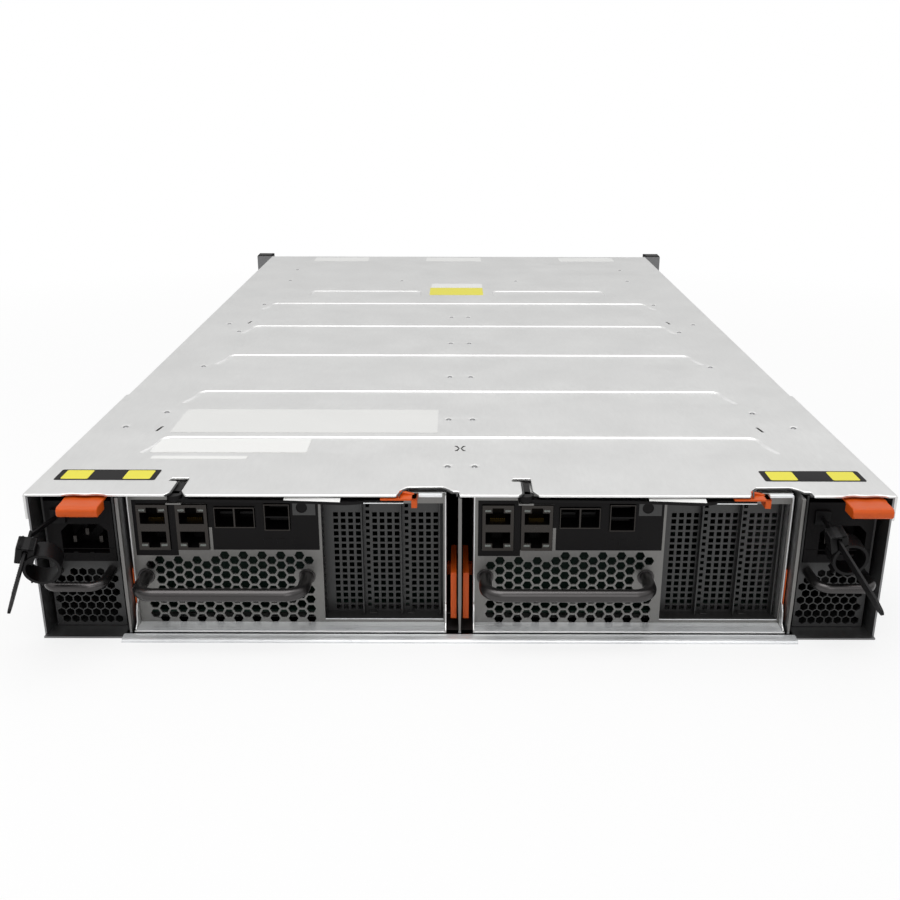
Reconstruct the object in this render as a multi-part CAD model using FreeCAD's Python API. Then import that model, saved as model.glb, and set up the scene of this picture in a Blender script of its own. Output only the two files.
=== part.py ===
import FreeCAD, Part
import math
import os

from FreeCAD import Vector

# A 2U rack storage enclosure seen from its service side: two power supplies outside,
# two controller canisters inside, and 24 small drives at the far, front side.
# X runs to the right, Y from the service side to the drives, Z up. Y = 0 is the cover's rear edge.

# Driving sizes of the enclosure, mm
body_h = 82.8
body_d = 746.0
sheet = 1.0
run_gap = 0.3
cover_overlap = 175.0
skirt_t = 1.5
skirt_h = 14.0
floor_lip = 2.0
flange_w = 6.0
flange_start = 80.0

# Rack ears and their end caps
ear_reach = 17.8
ear_t = 2.0
ear_hole_inset = 8.75
ear_hole_dz = 44.45
ear_hole_r = 3.5
cap_d = 16.0
cap_wall = 2.0
cap_round = 4.0
cap_proud = 0.8
screw_well = 13.0

# Bays, from the middle outwards
divider_t = 1.2
channel_w = 6.6
can_w = 168.0
can_side_gap = 1.2
psu_wall_gap = 4.6
psu_w = 38.0
psu_side_gap = 2.3

# Rear service face and the midplane
face_y = 10.0
face_t = 1.2
mid_y = 556.0
mid_t = 2.4
mid_side_gap = 4.0
mid_top_gap = 2.0
air_slot_z = (52.0, 74.0)
air_slots = 4
air_share = 0.6
plug_d = 8.0
can_plug = (34.0, 20.0)
can_plug_at = (0.2, 0.62)
psu_plug_inset = 8.0
psu_plug_z = (28.0, 44.0)
drive_plug_z = (22.0, 50.0)
drive_plug_x = (4.5, 10.5)
sill_past = 2.9
sill_out = 7.0
sill_t = 1.2
sill_reach = 6.0
sill_lift = 0.2

# Cover ribs and notches
rib_ys = (91.6, 186.7, 283.5, 382.0, 476.0)
rib_inset = 44.5
rib_len = 30.0
rib_depth = 0.8
rib_ease = 0.3
emboss_ys = (508.0, 536.0)
emboss_near = 35.0
emboss_inset = 77.0
thumb_from_latch = 9.2
thumb_run_in = 4.1
thumb_w = 19.0
thumb_depth = 11.5
thumb_step_w = 5.2
thumb_step_depth = 5.5
thumb_edge = 1.7
scallop_depth = 4.5
slot_foot_w = 10.0
slot_stem_w = 6.0
slot_head_x = (-8.0, 3.5)
slot_head_y = (19.6, 23.6)

# Canister
can_z0 = 2.5
can_top_gap = 2.2
can_sheet = 0.8
port_w = 101.0
lip_t = 0.9
lip_y = 0.0
side_y = 9.0
bracket_y = (1.5, 4.0, 6.0)
bracket_z = (6.0, 15.0, 16.0)
bay_from_ports = 0.8
bay_inset = 1.6
bay_lip = 1.6
bay_below_top = 5.6
bay_d = 9.0
blank_count = 3
blank_t = 0.8
blank_tab = (3.8, 4.0)
blank_fold = 5.0
grid_hole = (5.0, 6.6)
grid_cols = 2
grid_col = 7.6
grid_rows = 6
grid_row = 10.6
grid_x0 = 6.6
grid_z0 = 7.0
hex_flat = 6.8
hex_col = 7.5
hex_row = 8.5
hex_x0 = 10.2
hex_z0 = 8.4
hex_margin = 4.0
leg_clear = 5.6
rj_size = (16.6, 26.0)
rj_xs = (4.6, 25.2)
rj_below_top = 32.4
rj_mouth = (11.8, 7.0)
rj_key = (6.0, 1.8)
rj_mouth_z = (11.0, 15.0)
rj_mouth_d = 16.0
sas_size = (21.3, 11.7)
sas_x = 45.5
sas_below_top = 19.5
sas_mouth = (9.1, 7.6)
usb_size = (13.4, 15.0)
usb_x = 71.9
usb_below_top = 21.0
usb_mouth = (12.0, 5.2)
flat_mouth_d = 14.0
window_gap = 0.3
cage_out = 1.2
cage_d = 24.0
board_z = 8.0
board_t = 1.6
board_inset = 3.0
board_front_gap = 15.0
riser_below_top = 5.6
touch_strip = (0.8, 7.0, 30.0)
touch_z = 6.0

# On the logic board
sink_x = (20.0, 90.0)
sink_y = (150.0, 230.0)
sink_base = 5.0
sink_tall = 28.0
fin_count = 6
fin_t = 1.5
memory_x = 104.0
memory_pitch = 9.0
memory_count = 4
memory_size = (3.0, 133.0, 31.0)
memory_y = 140.0
battery_y = (330.0, 430.0)
battery_tall = 26.0

# Canister handle, lever and its finger latch
grip_r = 3.5
grip_x0 = 6.4
grip_from_port = 8.0
grip_z = 33.0
grip_out = 25.0
grip_bend = 9.0
bar_sides = 10
bend_steps = 4
pivot_x = 27.0
pivot_y = 5.0
pivot_r = 1.5
pivot_run = 0.05
hub_r = 4.0
lever_y = (0.6, 7.2)
lever_below_top = 0.2
lever_h = 1.6
lever_inset = 22.0
tooth_h = 1.4
tooth_gap = 0.5
tooth_y = 20.5
tooth_w = 5.0
tab_t = 0.9
latch_inset = 18.0
latch_len = 16.0
latch_hook = 3.0
latch_drop = 2.2
latch_lap = (1.0, 0.6)
latch_ridge = (5.0, 2.0, 0.6)

# Power supply
psu_z0 = 1.3
psu_top_gap = 3.0
psu_sheet = 1.0
panel_below_top = (38.8, 3.3)
panel_d = 22.0
panel_proud = 0.6
inlet_inset = 17.0
inlet_below_top = 25.3
inlet_size = (24.6, 16.8)
inlet_d = 16.0
inlet_chamfer = 4.0
pin_size = (2.0, 4.0)
pin_len = 12.0
pin_dx = 7.0
pin_dz = 2.2
phex_flat = 5.9
phex_col = 6.9
phex_row = 5.98
phex_inset = 5.3
phex_z0 = 6.3
bar_r = 3.0
bar_inset = 4.6
bar_below_panel = 3.4
bar_out = 22.0
bar_bend = 7.0
pad_inset = 11.5
pad_size = (21.0, 11.6, 6.0)
pad_out = 12.0
pad_below_cover = 0.9
pad_round = 1.2
arm_t = 1.0
arm_inset = 2.0
arm_end = 70.0
arm_pivot_y = 62.0
arm_foot = 7.5
arm_gap = 0.8
fan_side_gap = 3.0
fan_wall_gap = 2.85
fan_y = 30.0
fan_len = 12.0
fan_hub_r = 7.0
fan_blades = 5
blade_t = 1.0
blade_chord = 9.0
blade_pitch = 35.0
blade_root = 1.0
fan_pin_r = 1.5
fan_tip_gap = 1.0
fan_ring_gap = 1.0
strut_w = 4.0

# Cord strap and its sliding clamp, one on each power supply
strap_w = 6.0
strap_t = 1.3
strap_foot = 8.0
strap_foot_t = 2.0
strap_x = 8.6
strap_below_top = 11.8
left_knee = (-6.9, -12.0, -2.0)
right_knee = (0.4, 0.0, -1.4)
left_tip = (3.1, -67.0, -15.5)
right_tip = (1.9, -72.0, -12.5)
clamp_at = 12.0
clamp_box = (10.0, 10.0, 9.0)
ring_in = 7.5
ring_out = 9.2
ring_len = 8.0
ring_side = 9.5
ring_down = 8.0

# Drives
drive_count = 24
drive_groups = 4
cage_sheet = 1.2
wall_t = 1.2
drive_gap = 0.5
drive_top_gap = 0.8
rail_h = 2.5
bezel_d = 12.0
bezel_out = 8.0
disk_side_gap = 1.48
disk_len = 100.5
disk_top_gap = 3.3
disk_back = 8.0
wedge_w = 9.0
wedge_out = 4.0
wedge_foot = 3.0
wedge_slope = 2.0
wedge_h = 52.0
wedge_level = 0.7

# Worked out from the sizes above
cover_z = body_h - sheet
wall_x = divider_t / 2 + channel_w + can_w + can_side_gap
psu_inner = wall_x + divider_t + psu_wall_gap
psu_outer = psu_inner + psu_w
half_w = psu_outer + psu_side_gap + sheet
ear_x = half_w + ear_reach
hole_x = ear_x - ear_hole_inset
can_end = mid_y - plug_d
drive_y0 = mid_y + mid_t + plug_d
can_x0 = {"left": -(divider_t / 2 + channel_w + can_w), "right": divider_t / 2 + channel_w}
psu_x0 = {"left": -psu_outer, "right": psu_inner}
can_top = cover_z - can_top_gap
rj_z0 = can_top - rj_below_top
sas_z0 = can_top - sas_below_top
usb_z0 = can_top - usb_below_top
bay_x = (port_w + bay_from_ports, can_w - bay_inset)
bay_z0 = can_z0 + lip_t + bay_lip
bay_top = can_top - bay_below_top
bay_back = face_y + face_t + bay_d
blank_x = (bay_x[0] - can_sheet, can_w - can_sheet - run_gap)
blank_pitch = (blank_x[1] - blank_x[0] + run_gap) / blank_count
grip_xs = (grip_x0, port_w - grip_from_port)
lever_z = (can_top - lever_below_top - lever_h, can_top - lever_below_top)
tooth_z = (cover_z - tooth_gap - tooth_h, cover_z - tooth_gap)
latch_x = (can_w - latch_inset - latch_len, can_w - latch_inset)
psu_top = cover_z - psu_top_gap
panel_z = (psu_top - panel_below_top[0], psu_top - panel_below_top[1])
inlet_x = psu_w - inlet_inset
inlet_z = psu_top - inlet_below_top
bar_xs = (bar_inset, psu_w - bar_inset)
bar_z = panel_z[0] - bar_below_panel
pad_x = psu_w - pad_inset
pad_top = cover_z - pad_below_cover - run_gap
fan_space = (panel_z[0] - psu_z0 - psu_sheet) / 2
fan_z = psu_z0 + psu_sheet + fan_space
fan_r = min(fan_space - fan_wall_gap, psu_w / 2 - fan_side_gap)
strap_z = psu_top - strap_below_top
knees = {"left": Vector(*left_knee), "right": Vector(*right_knee)}
tips = {"left": Vector(*left_tip), "right": Vector(*right_tip)}
cage_z = (sheet, cover_z - sheet - run_gap)
drive_z = (cage_z[0] + cage_sheet + run_gap, cage_z[1] - cage_sheet - drive_top_gap)


def box(x0, x1, y0, y1, z0, z1):
    return Part.makeBox(x1 - x0, y1 - y0, z1 - z0, Vector(x0, y0, z0))


def rod(start, direction, length, radius):
    return Part.makeCylinder(radius, length, start, direction)


def joined(shapes):
    first = shapes[0]
    if len(shapes) == 1:
        return first
    return first.multiFuse(shapes[1:]).removeSplitter()


def prism(points, push):
    return Part.Face(Part.makePolygon(points + points[:1])).extrude(push)


def xz_wire(points, y):
    return Part.makePolygon([Vector(x, y, z) for x, z in points + points[:1]])


def rect(x0, x1, z0, z1):
    return [(x0, z0), (x1, z0), (x1, z1), (x0, z1)]


def plate(outline, holes, y, thickness):
    """A flat plate facing the service side, with its cut-outs."""
    wires = [xz_wire(outline, y)] + [xz_wire(h, y) for h in holes]
    face = Part.makeFace(wires, "Part::FaceMakerBullseye")
    return face.extrude(Vector(0, thickness, 0))


def hexagon(x, z, flat, turn):
    r = flat / math.sqrt(3)
    angles = [math.radians(turn + 60 * k) for k in range(6)]
    return [(x + r * math.cos(a), z + r * math.sin(a)) for a in angles]


def save(name, solids):
    Part.makeCompound(solids).exportStep("parts/" + name + ".step")


def handle(x0, x1, y, z, out, radius, bend):
    """A bar bent to a U: two legs on the face and a grip in front of it.

    Its round section and its bends are drawn with a few flats, which keeps the mesh light.
    """
    leg_end = y - out + bend
    turn = [math.radians(90.0 * k / bend_steps) for k in range(bend_steps + 1)]
    left = [Vector(x0 + bend * (1 - math.cos(a)), leg_end - bend * math.sin(a), z) for a in turn]
    right = [Vector(x0 + x1 - p.x, p.y, z) for p in reversed(left)]
    path = Part.makePolygon([Vector(x0, y, z)] + left + right + [Vector(x1, y, z)])
    sides = [2 * math.pi * (k + 0.5) / bar_sides for k in range(bar_sides)]
    ring = [Vector(x0 + radius * math.cos(a), y, z + radius * math.sin(a)) for a in sides]
    section = Part.makePolygon(ring + ring[:1])
    return path.makePipeShell([section], True, False, 1)


def tray():
    """Floor, side walls, cover flanges and rack ears of the outer case."""
    wall_top = cover_z
    parts = [box(-half_w, half_w, -floor_lip, body_d - ear_t, 0, sheet)]
    for side in (-1, 1):
        outer = side * half_w
        inner = side * (half_w - sheet)
        lip = side * (half_w - sheet - flange_w)
        tip = side * ear_x
        parts.append(box(min(inner, outer), max(inner, outer), 0, body_d - ear_t, 0, wall_top))
        parts.append(box(min(inner, lip), max(inner, lip), flange_start, body_d - ear_t,
                         wall_top - sheet, wall_top))
        ear = box(min(inner, tip), max(inner, tip), body_d - ear_t, body_d, 0, body_h)
        for dz in (-1, 1):
            centre = Vector(side * hole_x, body_d - 2 * ear_t, (body_h + dz * ear_hole_dz) / 2)
            ear = ear.cut(rod(centre, Vector(0, 1, 0), 3 * ear_t, ear_hole_r))
        parts.append(ear)
    return joined(parts)


def slot_points(x, y_out):
    """Outline of the cover's slot over a canister lever's tooth; its head reaches to the left."""
    foot, stem = slot_foot_w / 2, slot_stem_w / 2
    left, right = slot_head_x
    y0, y1 = slot_head_y
    points = [(foot, y_out), (stem, face_y / 2), (stem, y0), (right, y0), (right, y1), (left, y1),
              (left, y0), (-stem, y0), (-stem, face_y / 2), (-foot, y_out)]
    return [Vector(x + px, py, cover_z - sheet) for px, py in points]


def thumb_points(x, y_out):
    """Outline of the cover's finger notch, deep over the latch and stepped on its right."""
    a = x + thumb_run_in
    b = a + thumb_w
    c = b + thumb_step_w
    points = [(x, y_out), (x, 0), (x + thumb_edge, thumb_depth - thumb_run_in), (a, thumb_depth),
              (b, thumb_depth), (c, thumb_step_depth), (c + 2 * thumb_edge, thumb_step_depth),
              (c + 2 * thumb_edge, y_out)]
    return [Vector(px, py, cover_z - sheet) for px, py in points]


def stadium(x0, x1, y0, y1, z, tall):
    """A pressed band with its corners eased."""
    c = (y1 - y0) * rib_ease
    points = [(x0 + c, y0), (x1 - c, y0), (x1, y0 + c), (x1, y1 - c), (x1 - c, y1), (x0 + c, y1),
              (x0, y1 - c), (x0, y0 + c)]
    return prism([Vector(x, y, z) for x, y in points], Vector(0, 0, tall))


def cover():
    """Top cover: a thin lid with stiffening ribs, thumb notches and slots, and its two skirts."""
    tall = 3 * sheet
    lid = box(-half_w, half_w, 0, body_d - ear_t, cover_z, body_h)
    adds = [lid]
    cuts = []
    for y in rib_ys:
        for z, into in ((body_h - rib_depth, cuts), (cover_z - rib_depth, adds)):
            into.append(stadium(rib_inset - half_w, half_w - rib_inset, y - rib_len, y, z, rib_depth))
    far = half_w - emboss_inset
    for x0, x1 in ((-far, -emboss_near), (emboss_near, far)):
        cuts.append(stadium(x0, x1, emboss_ys[0], emboss_ys[1], body_h - rib_depth / 2, rib_depth / 2))
    for side in ("left", "right"):
        cuts.append(prism(thumb_points(can_x0[side] + latch_x[0] + thumb_from_latch, -sheet),
                          Vector(0, 0, tall)))
        cuts.append(prism(slot_points(can_x0[side] + pivot_x, -sheet), Vector(0, 0, tall)))
        mid = psu_x0[side] + pad_x
        reach = pad_size[0] / 2 + sheet
        cuts.append(box(mid - reach, mid + reach, -sheet, scallop_depth, cover_z - sheet,
                        body_h + sheet))
    skirts = [box(x, x + skirt_t, 0, cover_overlap, body_h - skirt_h, body_h)
              for x in (-half_w - skirt_t, half_w)]
    return [joined(adds).cut(Part.makeCompound(cuts))] + skirts


def dividers():
    """The wall between the canisters, and the walls beside the power supplies."""
    top = cover_z - rib_depth
    step = sheet + sill_t
    profile = [(0, step), (sill_reach, step), (sill_reach, sheet), (mid_y, sheet), (mid_y, top), (0, top)]
    lefts = (-wall_x - divider_t, -divider_t / 2, wall_x)
    return [prism([Vector(x, y, z) for y, z in profile], Vector(divider_t, 0, 0)) for x in lefts]


def sill():
    """The bright folded plate along the rear edge of the floor."""
    z = sheet
    half = wall_x + divider_t + sill_past
    roll = sill_t
    outline = [(sill_reach, z), (sill_reach, z + sill_t), (-sill_out + roll, z + sill_t),
               (-sill_out, z + sill_t - roll / 2), (-sill_out, sill_lift),
               (-sill_out + sill_t, sill_lift), (-sill_out + sill_t, z)]
    return prism([Vector(-half, y, zz) for y, zz in outline], Vector(2 * half, 0, 0))


def midplane():
    """The board that joins both sides, its air slots and its sockets."""
    edge = half_w - sheet - mid_side_gap
    air = []
    holders = []
    y0 = mid_y - plug_d + run_gap
    step = can_w / air_slots
    side_share = (1 - air_share) / 2
    for side in ("left", "right"):
        for k in range(air_slots):
            x = can_x0[side] + (k + side_share) * step
            air.append(rect(x, x + step * air_share, air_slot_z[0], air_slot_z[1]))
        for share in can_plug_at:
            x = can_x0[side] + can_w * share
            holders.append(box(x, x + can_plug[0], y0, mid_y, board_z + board_t, can_plug[1]))
        x = psu_x0[side] + psu_plug_inset
        holders.append(box(x, x + psu_w - 2 * psu_plug_inset, y0, mid_y, psu_plug_z[0], psu_plug_z[1]))
    board = plate(rect(-edge, edge, sheet + run_gap, cover_z - mid_top_gap), air, mid_y, mid_t)
    xs = drive_xs()
    per_group = drive_count // drive_groups
    y0 = mid_y + mid_t
    for k in range(0, drive_count, per_group):
        holders.append(box(xs[k] + drive_plug_x[0], xs[k + per_group - 1] + drive_plug_x[1],
                           y0, y0 + plug_d - run_gap, drive_plug_z[0], drive_plug_z[1]))
    return [board] + holders


def drive_pitch():
    inner = 2 * (half_w - sheet - cage_sheet - run_gap) - (drive_groups - 1) * wall_t
    return inner / drive_count


def drive_xs():
    """Left edge of each drive carrier."""
    per_group = drive_count // drive_groups
    start = -half_w + sheet + cage_sheet + run_gap
    return [start + k * drive_pitch() + (k // per_group) * wall_t + drive_gap / 2
            for k in range(drive_count)]


def drive_cage():
    """Floor, roof, sides and partitions of the drive bay, riveted from flat sheets."""
    x = half_w - sheet - run_gap
    y0, y1 = drive_y0, body_d - ear_t
    z0, z1 = cage_z
    floor_top, roof = z0 + cage_sheet, z1 - cage_sheet
    sheets = [box(-x, x, y0, y1, z0, floor_top), box(-x, x, y0, y1, roof, z1),
              box(-x, -x + cage_sheet, y0, y1, floor_top, roof),
              box(x - cage_sheet, x, y0, y1, floor_top, roof)]
    per_group = drive_count // drive_groups
    first = -half_w + sheet + cage_sheet + run_gap
    for k in range(1, drive_groups):
        wx = first + k * per_group * drive_pitch() + (k - 1) * wall_t
        sheets.append(box(wx, wx + wall_t, y0, y1, floor_top, roof))
    return sheets


def drive(x):
    """A small drive in its carrier, with the carrier's lever; three solids that move as one."""
    w = drive_pitch() - drive_gap
    z0, z1 = drive_z
    front = body_d + bezel_out
    inner = front - bezel_d
    back = drive_y0 + disk_back
    profile = [(back, z0), (front, z0), (front, z1), (inner, z1), (inner, z0 + rail_h), (back, z0 + rail_h)]
    carrier = prism([Vector(x, y, z) for y, z in profile], Vector(w, 0, 0))
    disk_z = z0 + rail_h + run_gap
    disk = box(x + disk_side_gap, x + w - disk_side_gap, drive_y0, drive_y0 + disk_len,
               disk_z, z1 - disk_top_gap)
    foot = z0 + rail_h + wedge_foot
    wedge = [(front, foot), (front + wedge_out, foot + wedge_slope),
             (front + wedge_out, foot + wedge_h * wedge_level), (front, foot + wedge_h)]
    left = x + (w - wedge_w) / 2
    lever = prism([Vector(left, y, z) for y, z in wedge], Vector(wedge_w, 0, 0))
    return [carrier, disk, lever]


def end_cap(side):
    """Moulded cap in front of a rack ear, open behind, with wells over the rack screws."""
    a, b = side * (half_w + run_gap), side * ear_x
    x0, x1 = min(a, b), max(a, b)
    z0, z1 = run_gap, body_h + cap_proud
    y0, y1 = body_d, body_d + cap_d
    block = box(x0, x1, y0, y1, z0, z1)
    edges = [e for e in block.Edges if abs(e.BoundBox.ZLength - (z1 - z0)) < 0.01
             and e.BoundBox.YMin > y1 - 0.01]
    block = block.makeFillet(cap_round, edges)
    block = block.cut(box(x0 + cap_wall, x1 - cap_wall, y0, y1 - cap_wall, z0 + cap_wall, z1 - cap_wall))
    for dz in (-1, 1):
        x, z, r = side * hole_x, (body_h + dz * ear_hole_dz) / 2, screw_well / 2
        block = block.cut(box(x - r, x + r, y0 - 1, y1 + 1, z - r, z + r))
    return block


def can_casing(x0):
    """Folded tray and lid of a canister, with its bright rear lip."""
    x1 = x0 + can_w
    back = face_y + face_t
    parts = [
        box(x0, x1, lip_y, can_end, can_z0, can_z0 + lip_t),
        box(x0, x0 + can_sheet, side_y, can_end, can_z0, can_top - can_sheet),
        box(x1 - can_sheet, x1, side_y, can_end, can_z0, can_top - can_sheet),
        box(x0 + can_sheet, x1 - can_sheet, can_end - can_sheet, can_end, can_z0, board_z - run_gap),
    ]
    profile = [(bracket_y[0], can_z0), (side_y, can_z0), (side_y, bracket_z[2]),
               (bracket_y[2], bracket_z[1]), (bracket_y[1], bracket_z[0])]
    for x in (x0, x1 - can_sheet):
        parts.append(prism([Vector(x, y, z) for y, z in profile], Vector(can_sheet, 0, 0)))
    shell = joined(parts)
    lid = box(x0, x1, back, can_end, can_top - can_sheet, can_top)
    t, depth, tall = touch_strip
    strips = [box(x, x + t, side_y, side_y + depth, touch_z, touch_z + tall) for x in (x0 - t, x1)]
    return [shell, lid] + strips


def can_face(x0):
    """Perforated rear face of a canister, with port windows and the walls of its sunk slot bay."""
    holes = []
    legs = [(x, grip_z) for x in grip_xs]
    stack_right = rj_xs[-1] + rj_size[0]
    cols = int((port_w - 2 * hex_margin - hex_x0) / hex_col) + 2
    rows = int(rj_z0 / hex_row) + 1
    for i in range(cols):
        for j in range(rows):
            x = hex_x0 + i * hex_col
            z = hex_z0 + j * hex_row + (i % 2) * hex_row / 2
            top = rj_z0 - (hex_row if x < stack_right else hex_margin)
            clear = min(math.hypot(x - lx, z - lz) for lx, lz in legs) > leg_clear + hex_flat / 2
            if z < top and clear and x < port_w:
                holes.append(hexagon(x0 + x, z, hex_flat, 0))
    windows = [(rx, rj_z0, rj_size) for rx in rj_xs]
    windows += [(sas_x, sas_z0, sas_size), (usb_x, usb_z0, usb_size)]
    g = window_gap
    for wx, wz, (w, h) in windows:
        holes.append(rect(x0 + wx - g, x0 + wx + w + g, wz - g, wz + h + g))
    holes.append(rect(x0 + bay_x[0], x0 + bay_x[1], bay_z0, bay_top))
    outline = rect(x0 + can_sheet, x0 + can_w - can_sheet, can_z0 + lip_t, can_top - run_gap)
    sheet_part = plate(outline, holes, face_y, face_t)
    a, b, t = x0 + bay_x[0], x0 + bay_x[1], can_sheet
    y = face_y + face_t
    walls = [box(a - t, a, y, bay_back, bay_z0 - t, bay_top + t), box(a, b, y, bay_back, bay_z0 - t, bay_z0),
             box(a, b, y, bay_back, bay_top, bay_top + t)]
    pz = lever_z[0] - tab_t - run_gap
    tab = box(x0 + pivot_x - hub_r, x0 + pivot_x + hub_r, pivot_y - hub_r, face_y, pz, pz + tab_t)
    pin = rod(Vector(x0 + pivot_x, pivot_y, pz), Vector(0, 0, 1), tooth_z[0] - pz - run_gap, pivot_r)
    return [joined([sheet_part, tab, pin] + walls)]


def can_blanks(x0):
    """Blank slot covers at the back of the bay: a coarse grid, a folded edge and a foot tab each."""
    out = []
    y, t = bay_back, can_sheet
    tab_w, tab_reach = blank_tab
    for k in range(blank_count):
        bx = x0 + blank_x[0] + k * blank_pitch
        right = bx + blank_pitch - run_gap
        grid = [centred(bx + grid_x0 + i * grid_col, bay_z0 + grid_z0 + j * grid_row, grid_hole)
                for i in range(grid_cols) for j in range(grid_rows)]
        body = plate(rect(bx, right, bay_z0 - t, bay_top + t), grid, y, blank_t)
        fold = box(right - t, right, y - blank_fold, y, bay_z0 + run_gap, bay_top - run_gap)
        tab = box(bx + t, bx + t + tab_w, y - tab_reach, y, bay_z0, bay_z0 + blank_t)
        out.append(joined([body, fold, tab]))
    return out


def rj_outline(x, z, s):
    """Mouth of one network jack, with its key step, upwards for s = 1 and downwards for -1."""
    w, h = rj_mouth
    key, step = rj_key
    points = [(-w / 2, 0), (w / 2, 0), (w / 2, s * h), (key / 2, s * h), (key / 2, s * (h + step)),
              (-key / 2, s * (h + step)), (-key / 2, s * h), (-w / 2, s * h)]
    return [(x + px, z + pz) for px, pz in points]


def centred(x, z, size):
    """A rectangle about its centre."""
    w, h = size
    return rect(x - w / 2, x + w / 2, z - h / 2, z + h / 2)


def cage(x, z, size, mouths, depth):
    """A metal port cage with blind sockets."""
    w, h = size
    y = face_y - cage_out
    front = plate(rect(x, x + w, z, z + h), mouths, y, depth)
    return joined([front, box(x, x + w, y + depth, y + cage_d, z, z + h)])


def can_board(x0):
    """Logic board with its port cages, heat sink, memory and battery."""
    x1 = x0 + can_w
    top = board_z + board_t
    solids = [box(x0 + board_inset, x1 - board_inset, face_y + face_t + board_front_gap,
                  can_end - run_gap, board_z, top)]
    for rx in rj_xs:
        mid = x0 + rx + rj_size[0] / 2
        mouths = [rj_outline(mid, rj_z0 + rj_mouth_z[0], -1), rj_outline(mid, rj_z0 + rj_mouth_z[1], 1)]
        solids.append(cage(x0 + rx, rj_z0, rj_size, mouths, rj_mouth_d))
    w, h = sas_size
    mouths = [centred(x0 + sas_x + w * share, sas_z0 + h / 2, sas_mouth) for share in (0.25, 0.75)]
    solids.append(cage(x0 + sas_x, sas_z0, sas_size, mouths, flat_mouth_d))
    w, h = usb_size
    mouths = [centred(x0 + usb_x + w / 2, usb_z0 + h * share, usb_mouth) for share in (0.25, 0.75)]
    solids.append(cage(x0 + usb_x, usb_z0, usb_size, mouths, flat_mouth_d))
    riser_y = face_y - cage_out + cage_d
    solids.append(box(x0 + board_inset, x0 + port_w, riser_y, riser_y + board_t, top,
                      can_top - riser_below_top))
    a, b = x0 + sink_x[0], x0 + sink_x[1]
    y0, y1 = sink_y
    fins = [box(a, b, y0, y1, top, top + sink_base)]
    step = (b - a - fin_t) / (fin_count - 1)
    for k in range(fin_count):
        fins.append(box(a + k * step, a + k * step + fin_t, y0, y1, top + sink_base, top + sink_tall))
    solids.append(joined(fins))
    w, length, tall = memory_size
    for k in range(memory_count):
        x = x0 + memory_x + k * memory_pitch
        solids.append(box(x, x + w, memory_y, memory_y + length, top, top + tall))
    solids.append(box(a, b, battery_y[0], battery_y[1], top, top + battery_tall))
    return solids


def can_lever(x0):
    """Release lever along the top of the face: hub, arm and the tooth under the cover's slot."""
    px = x0 + pivot_x
    z0, z1 = lever_z
    hub = rod(Vector(px, pivot_y, z0), Vector(0, 0, 1), tooth_z[1] - z0, hub_r)
    arm = box(px, x0 + can_w - lever_inset, lever_y[0], lever_y[1], z0, z1)
    tooth = box(px - tooth_w / 2, px + tooth_w / 2, pivot_y, tooth_y, tooth_z[0], tooth_z[1])
    bore = rod(Vector(px, pivot_y, z0 - 1), Vector(0, 0, 1), tooth_z[0] - z0 + 1, pivot_r + pivot_run)
    return joined([hub, arm, tooth]).cut(bore)


def can_latch(x0):
    """Finger latch that slides on the lever's end."""
    a, b = x0 + latch_x[0], x0 + latch_x[1]
    y0, y1 = lever_y[0] - latch_lap[0], lever_y[1] + latch_lap[1]
    far, near, rise = latch_ridge
    foot, top = lever_z[1] + run_gap, tooth_z[1]
    body = box(a, b, y0, y1, foot, top - rise)
    ridge = [(b - far, top - rise), (b - near, top), (b, top), (b, top - rise)]
    grip = prism([Vector(x, y0, z) for x, z in ridge], Vector(0, y1 - y0, 0))
    hook = box(b, b + latch_hook, y0, y1, lever_z[0] - latch_drop, top)
    return joined([body, grip, hook])


def psu_case(x0):
    """Steel can of a power supply, with its perforated end, fan ring and fan spindle."""
    x1 = x0 + psu_w
    t = psu_sheet
    back = face_y + face_t
    shell = box(x0, x1, back, can_end, psu_z0, psu_top).cut(
        box(x0 + t, x1 - t, back - 1, can_end - t, psu_z0 + t, psu_top - t))
    holes = [rect(x0 + t, x1 - t, panel_z[0], panel_z[1])]
    rows = int((panel_z[0] - phex_z0 - phex_flat / 2) / phex_row) + 1
    cols = int((psu_w - 2 * phex_inset) / phex_col) + 1
    for j in range(rows):
        for i in range(cols - j % 2):
            x = phex_inset + i * phex_col + (j % 2) * phex_col / 2
            z = phex_z0 + j * phex_row
            if min(math.hypot(x - bx, z - bar_z) for bx in bar_xs) > bar_r + phex_flat / 2:
                holes.append(hexagon(x0 + x, z, phex_flat, 30))
    front = plate(rect(x0, x1, psu_z0, psu_top), holes, face_y, face_t)
    mid = x0 + psu_w / 2
    ring_y = fan_y + fan_len + fan_ring_gap
    ring = box(x0 + t, x1 - t, ring_y, ring_y + t, psu_z0 + t, panel_z[0])
    axis = Vector(0, 1, 0)
    ring = ring.cut(rod(Vector(mid, ring_y - t, fan_z), axis, 3 * t, fan_r + fan_tip_gap))
    strut = box(mid - strut_w / 2, mid + strut_w / 2, ring_y, ring_y + t, psu_z0 + t, panel_z[0])
    pin = rod(Vector(mid, fan_y - t, fan_z), axis, ring_y + 2 * t - fan_y, fan_pin_r)
    can = joined([shell, front, ring, strut, pin])
    reach = pad_size[0] / 2 + run_gap
    pad_mid = x0 + pad_x
    right = min(pad_mid + reach, x1 - t)
    slot = box(pad_mid - reach, right, face_y - t, arm_pivot_y, panel_z[1], psu_top + t)
    return [can.cut(slot)]


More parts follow.
